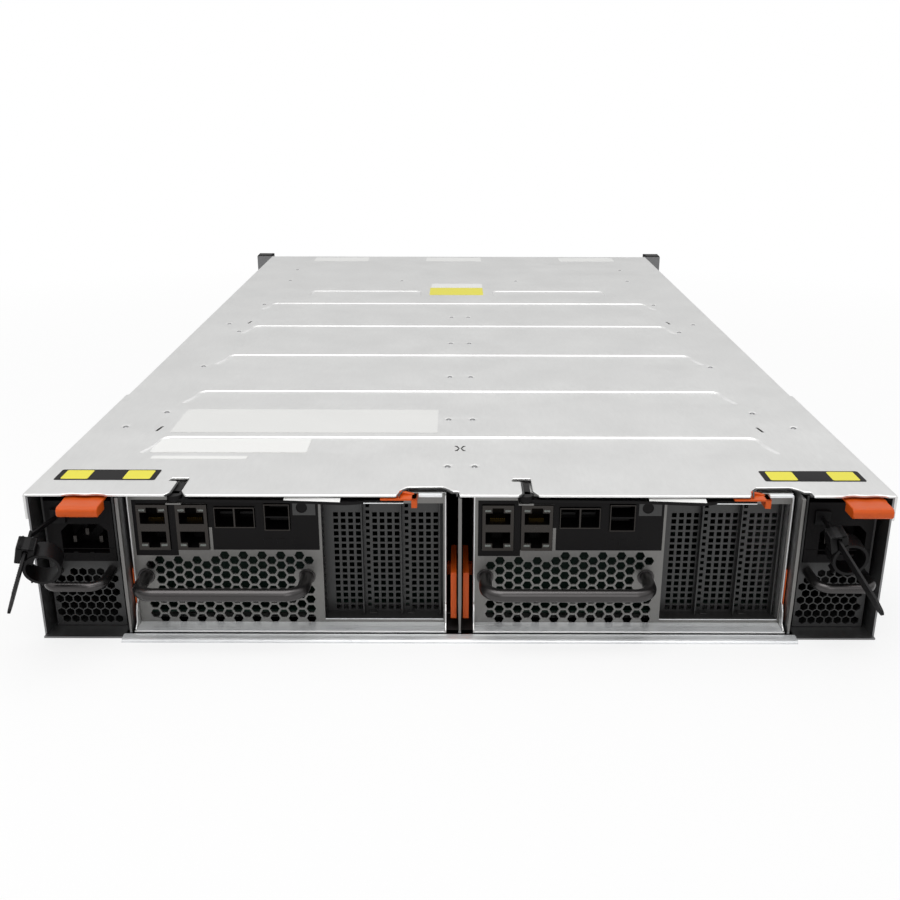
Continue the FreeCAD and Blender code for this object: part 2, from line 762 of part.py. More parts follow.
def psu_panel(x0):
    """Moulded panel with the mains inlet's recess and its three blades."""
    g = run_gap
    y0 = face_y - panel_proud
    t = psu_sheet
    w, h = inlet_size
    cx, cz, c = x0 + inlet_x, inlet_z, inlet_chamfer
    mouth = [(cx - w / 2, cz - h / 2), (cx + w / 2, cz - h / 2), (cx + w / 2, cz + h / 2 - c),
             (cx + w / 2 - c, cz + h / 2), (cx - w / 2 + c, cz + h / 2), (cx - w / 2, cz + h / 2 - c)]
    z0, z1 = panel_z[0] + g, panel_z[1] - g
    outline = rect(x0 + t + g, x0 + psu_w - t - g, z0, z1)
    front = plate(outline, [mouth], y0, inlet_d)
    rear = box(x0 + t + g, x0 + psu_w - t - g, y0 + inlet_d, y0 + panel_d, z0, z1)
    pw, ph = pin_size
    pins = [box(cx + dx - pw / 2, cx + dx + pw / 2, y0 + inlet_d - pin_len, y0 + inlet_d,
                cz + dz - ph / 2, cz + dz + ph / 2)
            for dx, dz in ((-pin_dx, -pin_dz), (0, pin_dz), (pin_dx, -pin_dz))]
    return [joined([front, rear])] + pins


def psu_latch(x0):
    """Finger pad on a spring arm that lies along the top of the power supply."""
    w, length, tall = pad_size
    mid = x0 + pad_x
    half = w / 2
    y1 = length - pad_out
    pad = box(mid - half, mid + half, -pad_out, y1, pad_top - tall, pad_top)
    edges = [e for e in pad.Edges if e.BoundBox.YMax < pad_round - pad_out]
    pad = pad.makeFillet(pad_round, edges)
    arm_z = psu_top + arm_gap
    near, far = mid - half + arm_inset, mid + half - arm_inset
    arm = box(near, far, y1 - arm_t, arm_end, arm_z, arm_z + arm_t)
    foot = box(near, far, arm_end - arm_foot, arm_end, psu_top, arm_z)
    return [joined([pad, arm, foot])]


def psu_fan(x0):
    """Axial fan wheel on its spindle: hub and pitched blades."""
    mid = x0 + psu_w / 2
    axis = Vector(0, 1, 0)
    hub = rod(Vector(mid, fan_y, fan_z), axis, fan_len, fan_hub_r)
    parts = [hub]
    inner = fan_hub_r - blade_root
    for k in range(fan_blades):
        corner = Vector(inner, -blade_t / 2, -blade_chord / 2)
        blade = Part.makeBox(fan_r - inner, blade_t, blade_chord, corner)
        blade.rotate(Vector(0, 0, 0), Vector(1, 0, 0), 90.0 - blade_pitch)
        blade.rotate(Vector(0, 0, 0), Vector(0, 1, 0), 360.0 * k / fan_blades)
        blade.translate(Vector(mid, fan_y + fan_len / 2, fan_z))
        parts.append(blade)
    wheel = joined(parts)
    bore = rod(Vector(mid, fan_y - 1, fan_z), axis, fan_len + 2, fan_pin_r + pivot_run)
    return [wheel.cut(bore)]


def strap_frame(side):
    """Root, knee and tip of a strap, its straight run's direction, and its width direction."""
    root = Vector(psu_x0[side] + strap_x, face_y - panel_proud, strap_z)
    base = Vector(psu_x0[side] + strap_x, 0, strap_z)
    knee = base + knees[side]
    tip = base + tips[side]
    run = (tip - knee).normalize()
    across = (knee - root).cross(tip - knee).normalize()
    if abs(across.x) > abs(across.z):
        across = Vector(1, 0, 0)
    return root, knee, tip, run, across


def oriented(centre, along, across, size):
    """A block with its length along one direction and its width along another."""
    length, width, thick = size
    third = along.cross(across).normalize()
    corner = centre - along * (length / 2) - across * (width / 2) - third * (thick / 2)
    points = [corner, corner + along * length, corner + along * length + across * width,
              corner + across * width]
    return prism(points, third * thick)


def strap(side):
    """Flat nylon strap: a foot on the panel, a short bend and a straight free run."""
    root, knee, tip, run, across = strap_frame(side)
    first = (knee - root).normalize()
    half = strap_foot / 2
    foot = box(root.x - half, root.x + half, root.y - strap_foot_t, root.y, root.z - half, root.z + half)
    lead = oriented((root + knee) * 0.5, first, across, ((knee - root).Length, strap_w, strap_t))
    bend = rod(knee - across * (strap_w / 2), across, strap_w, strap_t / 2)
    free_end = tip - run * (strap_w / 2)
    free = oriented((knee + free_end) * 0.5, run, across, ((free_end - knee).Length, strap_w, strap_t))
    third = run.cross(across).normalize()
    nose = rod(free_end - third * (strap_t / 2), third, strap_t, strap_w / 2)
    reach = 2 * strap_foot
    panel_side = box(root.x - reach, root.x + reach, root.y, root.y + reach, root.z - reach, root.z + reach)
    trimmed = joined([lead, bend, free, nose]).cut(panel_side)
    return [joined([foot, trimmed])]


def clamp(side):
    """Ratchet housing that slides on the strap, with the ring that holds the plug's cord."""
    root, knee, tip, run, across = strap_frame(side)
    centre = knee + run * clamp_at
    length, width, thick = clamp_box
    housing = oriented(centre, run, across, (length, width, thick))
    tunnel = oriented(centre, run, across, (2 * length, strap_w + 2 * run_gap, strap_t + 2 * run_gap))
    offset = Vector(ring_side, 0, -ring_down)
    offset = offset - run * offset.dot(run)
    hub = centre + offset - run * (ring_len / 2)
    band = rod(hub, run, ring_len, ring_out)
    bore = rod(hub - run * length, run, ring_len + 2 * length, ring_in)
    return [joined([housing, band]).cut(bore).cut(tunnel)]


def build():
    os.makedirs("parts", exist_ok=True)
    save("chassis_tray", [tray()])
    save("top_cover", cover())
    save("bay_dividers", dividers())
    save("rear_sill", [sill()])
    save("midplane_board", midplane())
    save("drive_cage", drive_cage())
    save("end_cap_left", [end_cap(-1)])
    save("end_cap_right", [end_cap(1)])
    for side in ("left", "right"):
        x0 = can_x0[side]
        name = "canister_" + side
        save(name + "_casing", can_casing(x0))
        save(name + "_face", can_face(x0))
        grip = handle(x0 + grip_xs[0], x0 + grip_xs[1], face_y, grip_z, grip_out, grip_r, grip_bend)
        save(name + "_handle", [grip])
        save(name + "_blanks", can_blanks(x0))
        save(name + "_board", can_board(x0))
        save(name + "_lever", [can_lever(x0)])
        save(name + "_latch", [can_latch(x0)])
        x0 = psu_x0[side]
        name = "power_" + side
        save(name + "_case", psu_case(x0))
        save(name + "_panel", psu_panel(x0))
        bar = handle(x0 + bar_xs[0], x0 + bar_xs[1], face_y, bar_z, bar_out, bar_r, bar_bend)
        save(name + "_handle", [bar])
        save(name + "_latch", psu_latch(x0))
        save(name + "_fan", psu_fan(x0))
        save(name + "_strap", strap(side))
        save(name + "_clamp", clamp(side))
    for k, x in enumerate(drive_xs()):
        save("drive_%02d" % (k + 1), drive(x))


build()
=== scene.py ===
import math
from collections import namedtuple

import bmesh
import bpy
from bpy.props import FloatProperty, FloatVectorProperty, PointerProperty
from mathutils import Matrix, Vector


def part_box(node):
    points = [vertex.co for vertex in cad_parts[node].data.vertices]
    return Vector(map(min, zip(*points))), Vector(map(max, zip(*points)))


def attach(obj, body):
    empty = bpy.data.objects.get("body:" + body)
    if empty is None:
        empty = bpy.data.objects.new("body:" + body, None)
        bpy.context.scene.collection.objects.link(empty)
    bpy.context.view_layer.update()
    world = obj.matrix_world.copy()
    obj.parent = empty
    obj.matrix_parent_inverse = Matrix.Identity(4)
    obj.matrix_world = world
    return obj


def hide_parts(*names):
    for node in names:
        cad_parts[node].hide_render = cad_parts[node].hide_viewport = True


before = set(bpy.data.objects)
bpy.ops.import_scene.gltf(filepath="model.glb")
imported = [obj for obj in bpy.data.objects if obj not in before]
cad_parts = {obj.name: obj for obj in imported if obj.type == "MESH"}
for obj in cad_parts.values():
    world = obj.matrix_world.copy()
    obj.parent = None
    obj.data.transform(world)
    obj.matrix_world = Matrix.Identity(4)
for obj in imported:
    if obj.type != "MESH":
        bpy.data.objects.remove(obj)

bl_info = {
    "name": "Storage array dressing",
    "version": (1, 0, 0),
    "blender": (4, 5, 0),
    "location": "3D View > Sidebar > Storage array",
    "description": "Dresses the packed storage array with its sheet metal, grilles and drives",
    "category": "Object",
}

# Shapes are worked out in millimetres and become metres when a piece is finished
MM = 0.001
SIDES = ("left", "right")


def low(node):
    """Lowest corner of a node, mm."""
    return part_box(node)[0] / MM


def high(node):
    """Highest corner of a node, mm."""
    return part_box(node)[1] / MM


# Places taken from the frame
lid_low, lid_high = low("top_cover"), high("top_cover")
lid_top, lid_back, skirt_x = lid_high.z, lid_high.y, lid_high.x
touch_t = 0.8
can_x0 = {s: low(f"canister_{s}_casing").x + touch_t for s in SIDES}
can_w = high("canister_left_casing").x - touch_t - can_x0["left"]
can_z0 = low("canister_left_casing").z
can_top = high("canister_left_casing").z
can_end = high("canister_left_casing").y
face_y = low("canister_left_face").y + 9.0
blank_t = 0.8
blank_y = high("canister_left_blanks").y - blank_t
psu_x0 = {s: low(f"power_{s}_case").x for s in SIDES}
psu_w = high("power_left_case").x - psu_x0["left"]
psu_z0 = low("power_left_case").z
psu_top = high("power_left_case").z
psu_face = low("power_left_case").y
psu_end = high("power_left_case").y
drive_names = sorted(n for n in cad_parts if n.startswith("drive_") and n[6:].isdigit())

# Cover
sheet_t = 1.0
lid_t = 0.85
skirt_t = 1.5
skirt_len = 175.0
rib_ys = (91.6, 186.7, 283.5, 382.0, 476.0)
rib_far_x = 178.0
rib_near_x = 184.0
rib_len = 30.0
emboss_y = (508.0, 536.0)
emboss_xs = ((-148.0, -37.0), (33.0, 145.0))
dimple_r = 3.6
dimple_depth = 0.7
# Radius of the dark discs in the dimples, which paint the dimples' shade
dimple_shade_r = 2.1
dimples = [(x, y) for y in (42.0, 124.5, 221.5, 320.0, 415.5) for x in (-6.8, 8.1)]
dimples += [(-187.5, 138.0), (187.5, 138.0), (205.0, 109.0), (-205.0, 109.0), (186.5, 249.0),
            (-190.0, 249.0), (186.0, 360.0), (-186.0, 360.0), (204.0, 388.0), (-200.0, 388.0),
            (184.0, 469.0), (-184.0, 469.0), (-178.0, 590.0), (-60.0, 590.0), (60.0, 590.0),
            (178.0, 590.0), (-180.0, 655.0), (180.0, 655.0)]
datum = (0.2, 72.7)
slit_places = [(x, y) for y in (104.5, 393.0) for x in (-183.0, 183.0)]
slit_half, slit_reach = 0.8, 4.5

# Canister
side_sheet = 0.8
floor_sheet = 0.9
face_t = 1.2
touch_reach = 3.2
touch_off = 2.3
vent_flat = 4.7
vent_col = 5.0
vent_row = 5.82
vent_x0 = 9.3
vent_z0 = 5.7
vent_clear = 7.0
vent_cols = 18
vent_rows = 7
port_w = 101.0
jack_xs = (4.6, 25.2)
jack_size = (16.6, 26.0)
jack_mouth = (13.2, 6.6)
jack_key = (6.0, 2.8)
jack_mouth_z = (10.8, 15.1)
port_y = 8.8
port_room = 0.3
sas_size = (21.3, 11.7)
usb_size = (13.4, 15.0)
jack_z, sas_z, usb_z = can_top - 32.4, can_top - 19.5, can_top - 21.0
# Ports of a canister: left edge, foot and size
PORTS = [(x, jack_z, jack_size) for x in jack_xs]
PORTS += [(45.5, sas_z, sas_size), (71.9, usb_z, usb_size)]
bay_x = (101.8, 166.4)
bay_z = (5.0, 74.0)
slot_pitch = 21.0
grid_x0 = 108.2
grid_z0 = 7.3
grid_cols = 4
grid_rows = 16
grid_col = 4.0
grid_row = 3.72
grid_zs = [grid_z0 + j * grid_row for j in range(grid_rows)]
grid_hole = 2.6
strip_x = 125.4
strip_hole = 2.0
fold_x = 122.1
fold_out = 5.0
grip_r = 3.5
grip_xs = (6.4, 93.0)
grip_z = 31.2
grip_out = 21.5
grip_bend = 9.0
pivot_x = 27.0
pivot_y = 5.0
latch_x = (134.0, 150.0)
latch_hook = 3.0
arm_h = 1.6

# Power supply
panel_z = (40.3, 75.2)
inlet_x = psu_w - 17.0
inlet_z = psu_top - 25.3
inlet_size = (24.6, 16.8)
psu_vent_flat = 4.1
psu_vent_col = 4.76
psu_vent_row = 4.06
psu_vent_x0 = 5.4
psu_vent_z0 = 5.2
bar_r = 2.6
bar_xs = (4.6, 33.4)
bar_z = 34.8
bar_out = 19.8
bar_bend = 7.0

# Drives
rail_t = 1.2
disk_len = 100.5
carrier_len = 175.0
bezel_len = 11.8

# Camera, fitted to the photo's view
camera_place = (-1.842, -486.871, 285.099)
camera_pitch = 0.3340
camera_yaw = 0.0008
camera_roll = -0.0021
camera_lens = 41.003
camera_shift = (-0.00736, -0.01799)


def linear(code):
    """A colour written as sRGB hex, as Blender's linear values."""
    parts = [int(code[k:k + 2], 16) / 255 for k in (0, 2, 4)]
    return tuple(c / 12.92 if c <= 0.04045 else ((c + 0.055) / 1.055) ** 2.4
                 for c in parts) + (1.0,)


def colour_property(name, description, code):
    return FloatVectorProperty(name=name, description=description, subtype="COLOR", size=4,
                               min=0.0, max=1.0, default=linear(code))


def length_property(name, description, value):
    return FloatProperty(name=name, description=description, unit="LENGTH", default=value * MM)


class ArrayColours(bpy.types.PropertyGroup):
    zinc: colour_property("Zinc sheet", "Cover", "DFDFDE")
    # The wall colour is darker than the zinc it is: painted shade inside the tray and the bays
    wall: colour_property("Wall steel", "Tray and walls between the bays", "818182")
    # Near white: painted highlight standing in for the floor and lamps that the sill and lips
    # reflect
    bright: colour_property("Bright steel", "Sill and lips", "F0F2F4")
    # Grille colour darker than its metal: painted shade on the front faces
    grille: colour_property("Grille steel", "Perforated faces", "7A7977")
    # Slot colour darkened: painted shade in the recessed bays, on the power supply ends and along
    # the notches
    slot: colour_property("Slot steel", "Slot covers and power supply cans", "464646")
    # Port cage colour darkened: painted shade on the ports' front; the metal itself is bright
    cage: colour_property("Port cage", "Shells of the ports", "3B3836")
    coating: colour_property("Handle coating", "Handles", "494747")
    black_metal: colour_property("Black steel", "Levers and port film", "0C0A0B")
    black_plastic: colour_property("Black plastic", "Inlet panels, end caps and sockets", "0B090A")
    nylon: colour_property("Black nylon", "Cord straps", "111011")
    orange: colour_property("Orange", "Touch points", "CF5414")
    yellow: colour_property("Yellow", "Yellow patches", "E6DC3C")
    paper: colour_property("Label white", "Bare white labels", "ECECEA")
    film: colour_property("Label grey", "Pale grey label", "DFDFDD")
    # Solder mask near black: painted shade of the canister's inside, seen through the vent holes
    board: colour_property("Circuit board", "Solder mask", "0C2018")
    carrier: colour_property("Drive carrier", "Drive fronts", "2B2C2E")
    gold: colour_property("Contacts", "Gilded contacts", "C9A557")
    guide: colour_property("Light guide", "Light guides", "8E948F")


class ArraySizes(bpy.types.PropertyGroup):
    rib_depth: length_property("Rib depth", "Depth of the cover's pressed ribs", 0.9)
    rib_run: length_property("Rib slope", "Width of a rib's sloping wall", 1.8)
    edge: length_property("Edge", "Rounding of folded and cut edges", 0.3)
    moulded_edge: length_property("Moulded edge", "Rounding of moulded edges", 0.7)
    label_t: length_property("Label thickness", "Thickness of a stuck label", 0.12)


def size(name):
    """A size of the dressing, mm."""
    return getattr(bpy.context.scene.array_sizes, name) / MM


# Materials

broad_grain = 38.0


def add_node(tree, kind, settings=(), links=(), stops=()):
    """Adds one shader node with its settings, its colour stops and the sockets that feed it."""
    node = tree.nodes.new("ShaderNode" + kind)
    for key, value in dict(settings).items():
        if isinstance(key, str) and hasattr(node, key):
            setattr(node, key, value)
        else:
            node.inputs[key].default_value = value
    for key, source in dict(links).items():
        tree.links.new(source, node.inputs[key])
    for stop, (place, colour) in zip(node.color_ramp.elements if stops else (), stops):
        stop.position = place
        stop.color = colour
    return node


def shade(colour, factor):
    """A lighter or darker neighbour of a colour."""
    return tuple(min(1.0, c * factor) for c in tuple(colour)[:3]) + (1.0,)


Finish = namedtuple("Finish", "name colour grain spread bump rough shader stretch detail",
                    defaults=({}, (1.0, 1.0, 1.0), 3.0))
# Dark parts that swallow most of the light that falls on them straight
DULL = {"Specular IOR Level": 0.15}
FINISHES = {
    # Electro-galvanised steel, cold rolled: pale, satin, with a faint cloudy grain along the sheet
    "zinc_sheet": Finish("electrogalvanised_steel_rolled", "zinc", 1.6, 0.03, 0.015, (0.3, 0.4),
                         {"Metallic": 0.8}, (1.0, 0.18, 1.0)),
    # Hot-dip galvanised steel: dull, with broad soft spangles
    # Drawn darker than the cover: painted shade inside the tray and the bays
    "wall_steel_painted_shade": Finish("hot_dip_galvanised_steel", "wall", 6.0, 0.06, 0.02, (0.3, 0.42),
                         {"Metallic": 0.9}),
    # Tinned steel, bright rolled: almost a mirror along the fold, with fine lines along its length
    # Drawn near white with little metal shine: painted highlight for the bright floor it reflects
    "bright_steel": Finish("tinned_steel_bright_rolled", "bright", 0.5, 0.12, 0.012, (0.22, 0.4),
                           {"Metallic": 0.4}, (0.03, 1.0, 1.0)),
    # Nickel-plated punched steel: satin, with a haze left by the punch
    # Drawn darker than the cover: painted shade on the front faces
    "grille_steel_painted_shade": Finish("nickel_plated_steel_punched", "grille", 1.1, 0.08, 0.02, (0.34, 0.46),
                           {"Metallic": 0.75}, (1.0, 1.0, 0.3)),
    # Zinc-nickel plated steel, pressed: dull, with faint drawing lines upwards
    # Drawn dark grey: painted shade in the recessed bays, on the power supply ends and along the
    # notches
    "slot_steel_painted_shade": Finish("zinc_nickel_plated_steel_pressed", "slot", 0.9, 0.1, 0.02, (0.36, 0.5),
                         {"Metallic": 0.7}, (1.0, 1.0, 0.1)),
    # Nickel silver, stamped: a little brighter along its cut edges
    # Drawn brownish and dark: painted shade on the ports' front; the metal itself is bright
    "cage_steel_painted_shade": Finish("nickel_silver_stamped", "cage", 0.7, 0.08, 0.01, (0.25, 0.35),
                         {"Metallic": 0.9}),
    # Black nickel on a bent steel bar: dark, with a long soft highlight
    "handle_coating": Finish("black_nickel_bent_bar", "coating", 2.5, 0.03, 0.004, (0.26, 0.32),
                             {"Metallic": 0.9}, (0.1, 1.0, 1.0)),
    # Powder-coated steel: near black, with a shallow orange-peel relief
    "black_steel": Finish("powder_coated_steel_black", "black_metal", 0.9, 0.1, 0.03, (0.42, 0.58),
                          DULL),
    # Polycarbonate blend, moulded on a spark-eroded tool: dark and matt with a fine even grain
    "black_plastic": Finish("pc_abs_moulded_grained", "black_plastic", 0.45, 0.12, 0.04,
                            (0.42, 0.56), DULL),
    # Nylon 6, moulded: black with a slightly waxy sheen
    "black_nylon": Finish("nylon_moulded", "nylon", 1.4, 0.12, 0.02, (0.3, 0.42), DULL),
    # ABS dyed through, moulded: even orange with a soft sheen and faint flow clouds
    "orange_plastic": Finish("abs_moulded_orange", "orange", 2.5, 0.05, 0.015, (0.34, 0.46),
                             {"Subsurface Weight": 0.04, "Subsurface Scale": 0.002,
                              "Specular IOR Level": 0.3}),
    # Vinyl label, calendered: white, smooth and slightly shiny
    "white_label": Finish("vinyl_label_white", "paper", 0.6, 0.015, 0.006, (0.35, 0.45)),
    # Polyester label, matt printed in pale grey
    "grey_label": Finish("polyester_label_grey", "film", 0.6, 0.02, 0.006, (0.4, 0.5)),
    # Vinyl label, screen printed in yellow
    "yellow_label": Finish("vinyl_label_yellow", "yellow", 0.8, 0.03, 0.006, (0.4, 0.5)),
    # Polyester film, screen printed in black
    "black_label": Finish("polyester_film_black", "black_metal", 0.5, 0.08, 0.01, (0.46, 0.6),
                          DULL),
    # Epoxy glass board under green solder mask, with copper areas showing as lighter fields
    # Drawn near-black green: painted shade of the inside, seen through the vent holes
    "solder_mask": Finish("epoxy_board_solder_mask", "board", 2.2, 0.35, 0.03, (0.45, 0.6), DULL,
                          detail=0.0),
    # Glass-filled polycarbonate, moulded: dark grey, finely grained
    "carrier_plastic": Finish("glass_filled_pc_moulded", "carrier", 0.5, 0.1, 0.04, (0.4, 0.55)),
    # Spring bronze with a thin gold plate
    "gilded_contact": Finish("gold_plated_bronze", "gold", 0.4, 0.05, 0.005, (0.2, 0.3),
                             {"Metallic": 1.0}),
    # Acrylic light guide, moulded: clear and milky with nothing lit behind it
    "light_guide": Finish("acrylic_light_guide", "guide", 0.8, 0.04, 0.01, (0.15, 0.25),
                          {"Transmission Weight": 0.35, "IOR": 1.49}),
}


def finish(key):
    """The material of a finish: colour, gloss and relief vary over a grain of a real size in mm."""
    look = FINISHES[key]
    if look.name in bpy.data.materials:
        return bpy.data.materials[look.name]
    material = bpy.data.materials.new(look.name)
    material.use_nodes = True
    tree = material.node_tree
    tree.nodes.clear()
    colour = getattr(bpy.context.scene.array_colours, look.colour)
    place = add_node(tree, "TexCoord")
    turned = add_node(tree, "Mapping", {"Scale": look.stretch}, {"Vector": place.outputs["Object"]})
    fine = add_node(tree, "TexNoise",
                    {"Scale": 1.0 / (look.grain * MM), "Detail": look.detail, "Roughness": 0.6},
                    {"Vector": turned.outputs["Vector"]})
    broad = add_node(tree, "TexNoise", {"Scale": 1.0 / (broad_grain * MM), "Detail": 2.0},
                     {"Vector": place.outputs["Object"]})
    both = add_node(tree, "Mix", {"Factor": 0.45},
                    {"A": fine.outputs["Fac"], "B": broad.outputs["Fac"]})
    tone = add_node(tree, "ValToRGB", {}, {"Fac": both.outputs["Result"]},
                    ((0.32, shade(colour, 1.0 - look.spread)),
                     (0.68, shade(colour, 1.0 + look.spread))))
    gloss = add_node(tree, "MapRange", {"From Min": 0.3, "From Max": 0.7,
                                        "To Min": look.rough[0], "To Max": look.rough[1]},
                     {"Value": both.outputs["Result"]})
    relief = add_node(tree, "Bump", {"Strength": 0.35, "Distance": look.bump * MM},
                      {"Height": fine.outputs["Fac"]})
    skin = add_node(tree, "BsdfPrincipled", look.shader,
                    {"Base Color": tone.outputs["Color"], "Roughness": gloss.outputs["Result"],
                     "Normal": relief.outputs["Normal"]})
    add_node(tree, "OutputMaterial", {}, {"Surface": skin.outputs["BSDF"]})
    return material


# Shapes

sharp_angle = 42.0


def new_shape():
    return bmesh.new()


def corners(x0, x1, y0, y1, z):
    """The four corners of a level oblong."""
    return [(x0, y0, z), (x1, y0, z), (x1, y1, z), (x0, y1, z)]


def edges_of(verts, level=None):
    """Edges at some vertices; level keeps those that run square to that axis."""
    found = {e for v in verts for e in v.link_edges}
    if level is None:
        return found
    return {e for e in found if abs(e.verts[0].co[level] - e.verts[1].co[level]) < 0.1}


def soften(bm, edges, edge, steps=2):
    bmesh.ops.bevel(bm, geom=list(edges), offset=edge, offset_type="OFFSET", segments=steps,
                    profile=0.5, affect="EDGES", clamp_overlap=True, material=-1)


def block(bm, lo, hi, edge=0.0, steps=2):
    """A block between two corners, its edges rounded."""
    lo, hi = Vector(lo), Vector(hi)
    place = Matrix.Translation((lo + hi) / 2) @ Matrix.Diagonal((*(hi - lo), 1.0))
    verts = bmesh.ops.create_cube(bm, size=1.0, matrix=place)["verts"]
    if edge:
        soften(bm, edges_of(verts), edge, steps)


def disc(bm, centre, axis, radius, length, sides=24, top_r=None):
    """A cylinder from a centre along an axis; top_r gives its far end another radius."""
    axis = Vector(axis).normalized()
    middle = Vector(centre) + axis * length / 2
    place = Matrix.Translation(middle) @ axis.to_track_quat("Z", "Y").to_matrix().to_4x4()
    return bmesh.ops.create_cone(bm, cap_ends=True, segments=sides, radius1=radius,
                                 radius2=radius if top_r is None else top_r, depth=length,
                                 matrix=place)["verts"]


def thicken(bm, faces, push):
    """Gives flat faces a thickness and returns the vertices of the far side."""
    made = bmesh.ops.extrude_face_region(bm, geom=faces, use_keep_orig=True)["geom"]
    verts = [g for g in made if isinstance(g, bmesh.types.BMVert)]
    bmesh.ops.translate(bm, verts=verts, vec=push)
    return verts


def prism(bm, points, push, edge=0.0, steps=2):
    """A flat outline pushed to a thickness, its edges rounded."""
    face = bm.faces.new([bm.verts.new(p) for p in points])
    verts = thicken(bm, [face], push)
    if edge:
        soften(bm, edges_of(verts + list(face.verts)), edge, steps)


def round_face(bm, points, radii, steps=4):
    """A flat face whose corners are rounded; radii pairs a radius with the corners that take it."""
    known = set(bm.faces)
    verts = [bm.verts.new(p) for p in points]
    bm.faces.new(verts)
    for radius, which in radii:
        bmesh.ops.bevel(bm, geom=[verts[k] for k in which], offset=radius, offset_type="OFFSET",
                        segments=steps, profile=0.5, affect="VERTICES", clamp_overlap=True,
                        material=-1)
    return next(f for f in bm.faces if f not in known)


def press(bm, face, run, depth, steps=4):
    """Presses a flat face into the sheet, with a wall that eases in and out."""
    level = 0.0
    for k in range(1, steps + 1):
        wanted = depth * (1 - math.cos(math.pi * k / steps)) / 2
        bmesh.ops.inset_region(bm, faces=[face], thickness=run / steps, depth=0.0,
                               use_even_offset=True, use_boundary=True)
        bmesh.ops.translate(bm, verts=face.verts, vec=(0, 0, level - wanted))
        level = wanted


def rim(bm, points):
    """A closed line of edges, the rim of a plate or of a hole in it."""
    verts = [bm.verts.new(p) for p in points]
    for a, b in zip(verts, verts[1:] + verts[:1]):
        bm.edges.new((a, b))


def hole(bm, x, y, z, flat, sides, turn=0.0):
    """The rim of a regular hole in a plate across Y, given by its width across flats."""
    place = (Matrix.Translation((x, y, z)) @ Matrix.Rotation(math.pi / 2, 4, "X")
             @ Matrix.Rotation(math.radians(turn), 4, "Z"))
    bmesh.ops.create_circle(bm, cap_ends=False, segments=sides,
                            radius=flat / 2 / math.cos(math.pi / sides), matrix=place)


def window(bm, x0, x1, y, z0, z1):
    rim(bm, [(x0, y, z0), (x1, y, z0), (x1, y, z1), (x0, y, z1)])


def open_box(lo, hi, across, up):
    """The left and right wall, the floor and the roof of a box that is open along Y."""
    return ((lo.x, lo.x + across, lo.z, hi.z), (hi.x - across, hi.x, lo.z, hi.z),
            (lo.x, hi.x, lo.z, lo.z + up), (lo.x, hi.x, hi.z - up, hi.z))


def fill_plate(bm, push):
    """Fills the free rims of a plate, holes left open, and gives it its thickness."""
    free = [e for e in bm.edges if not e.link_faces]
    made = bmesh.ops.triangle_fill(bm, use_beauty=True, use_dissolve=False, edges=free)["geom"]
    thicken(bm, [g for g in made if isinstance(g, bmesh.types.BMFace)], push)


def bent_bar(bm, x0, x1, y, z, out, radius, bend, sides=20, steps=8):
    """A round bar bent to a U: a leg out of the face, the grip, and a leg back."""
    turned = Matrix.Translation((x0, y, z)) @ Matrix.Rotation(math.pi / 2, 4, "X")
    ring = bmesh.ops.create_circle(bm, cap_ends=True, segments=sides, radius=radius,
                                   matrix=turned)["verts"]
    edges = list(edges_of(ring))

    def straight(push):
        nonlocal edges
        made = bmesh.ops.extrude_edge_only(bm, edges=edges)["geom"]
        verts = [g for g in made if isinstance(g, bmesh.types.BMVert)]
        bmesh.ops.translate(bm, verts=verts, vec=push)
        edges = [g for g in made if isinstance(g, bmesh.types.BMEdge)]
        edges = [e for e in edges if all(v in verts for v in e.verts)]

    def corner(centre):
        nonlocal edges
        made = bmesh.ops.spin(bm, geom=edges, cent=centre, axis=(0, 0, 1), dvec=(0, 0, 0),
                              angle=math.pi / 2, steps=steps, use_merge=False,
                              use_duplicate=False)["geom_last"]
        edges = [g for g in made if isinstance(g, bmesh.types.BMEdge)]

    straight((0, bend - out, 0))
    corner((x0 + bend, y - out + bend, z))
    straight((x1 - x0 - 2 * bend, 0, 0))
    corner((x1 - bend, y - out + bend, z))
    straight((0, out - bend, 0))
    bmesh.ops.holes_fill(bm, edges=edges, sides=0)


def finish_piece(bm, name, body, material, nodes=(), at=0.0):
    """Makes the object of a shape, moved along X to its place, and lets it ride on its body."""
    bmesh.ops.recalc_face_normals(bm, faces=bm.faces[:])
    bmesh.ops.translate(bm, vec=(at, 0, 0), verts=bm.verts[:])
    bmesh.ops.scale(bm, vec=(MM, MM, MM), verts=bm.verts[:])
    mesh = bpy.data.meshes.new(name)
    bm.to_mesh(mesh)
    bm.free()
    mesh.shade_smooth()
    mesh.set_sharp_from_angle(angle=math.radians(sharp_angle))
    mesh.materials.append(finish(material))
    piece = bpy.data.objects.new(name, mesh)
    bpy.context.scene.collection.objects.link(piece)
    normals = piece.modifiers.new("flat_faces_first", "WEIGHTED_NORMAL")
    normals.keep_sharp = True
    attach(piece, body)
    if nodes:
        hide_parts(*nodes)


def dress_node(node, material):
    """Gives a carried-over node its finish."""
    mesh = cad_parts[node].data
    mesh.materials.clear()
    mesh.materials.append(finish(material))


# Cover

def slot_points(x0):
    """Outline of the slot over a lever's tooth, from left to right along the rear edge."""
    return [(x0 + dx, dy) for dx, dy in
            ((23.0, 0.0), (25.0, 3.4), (25.0, 19.2), (20.0, 19.6), (21.2, 23.6), (30.6, 23.6),
             (30.6, 6.0), (33.6, 0.0))]


def notch_points(x0):
    """Outline of the finger notch over a lever's latch."""
    return [(x0 + dx, dy) for dx, dy in
            ((142.4, 0.0), (144.2, 7.0), (147.6, 11.2), (166.0, 11.8), (169.0, 9.0), (171.4, 5.5),
             (174.8, 5.4), (174.8, 0.0))]


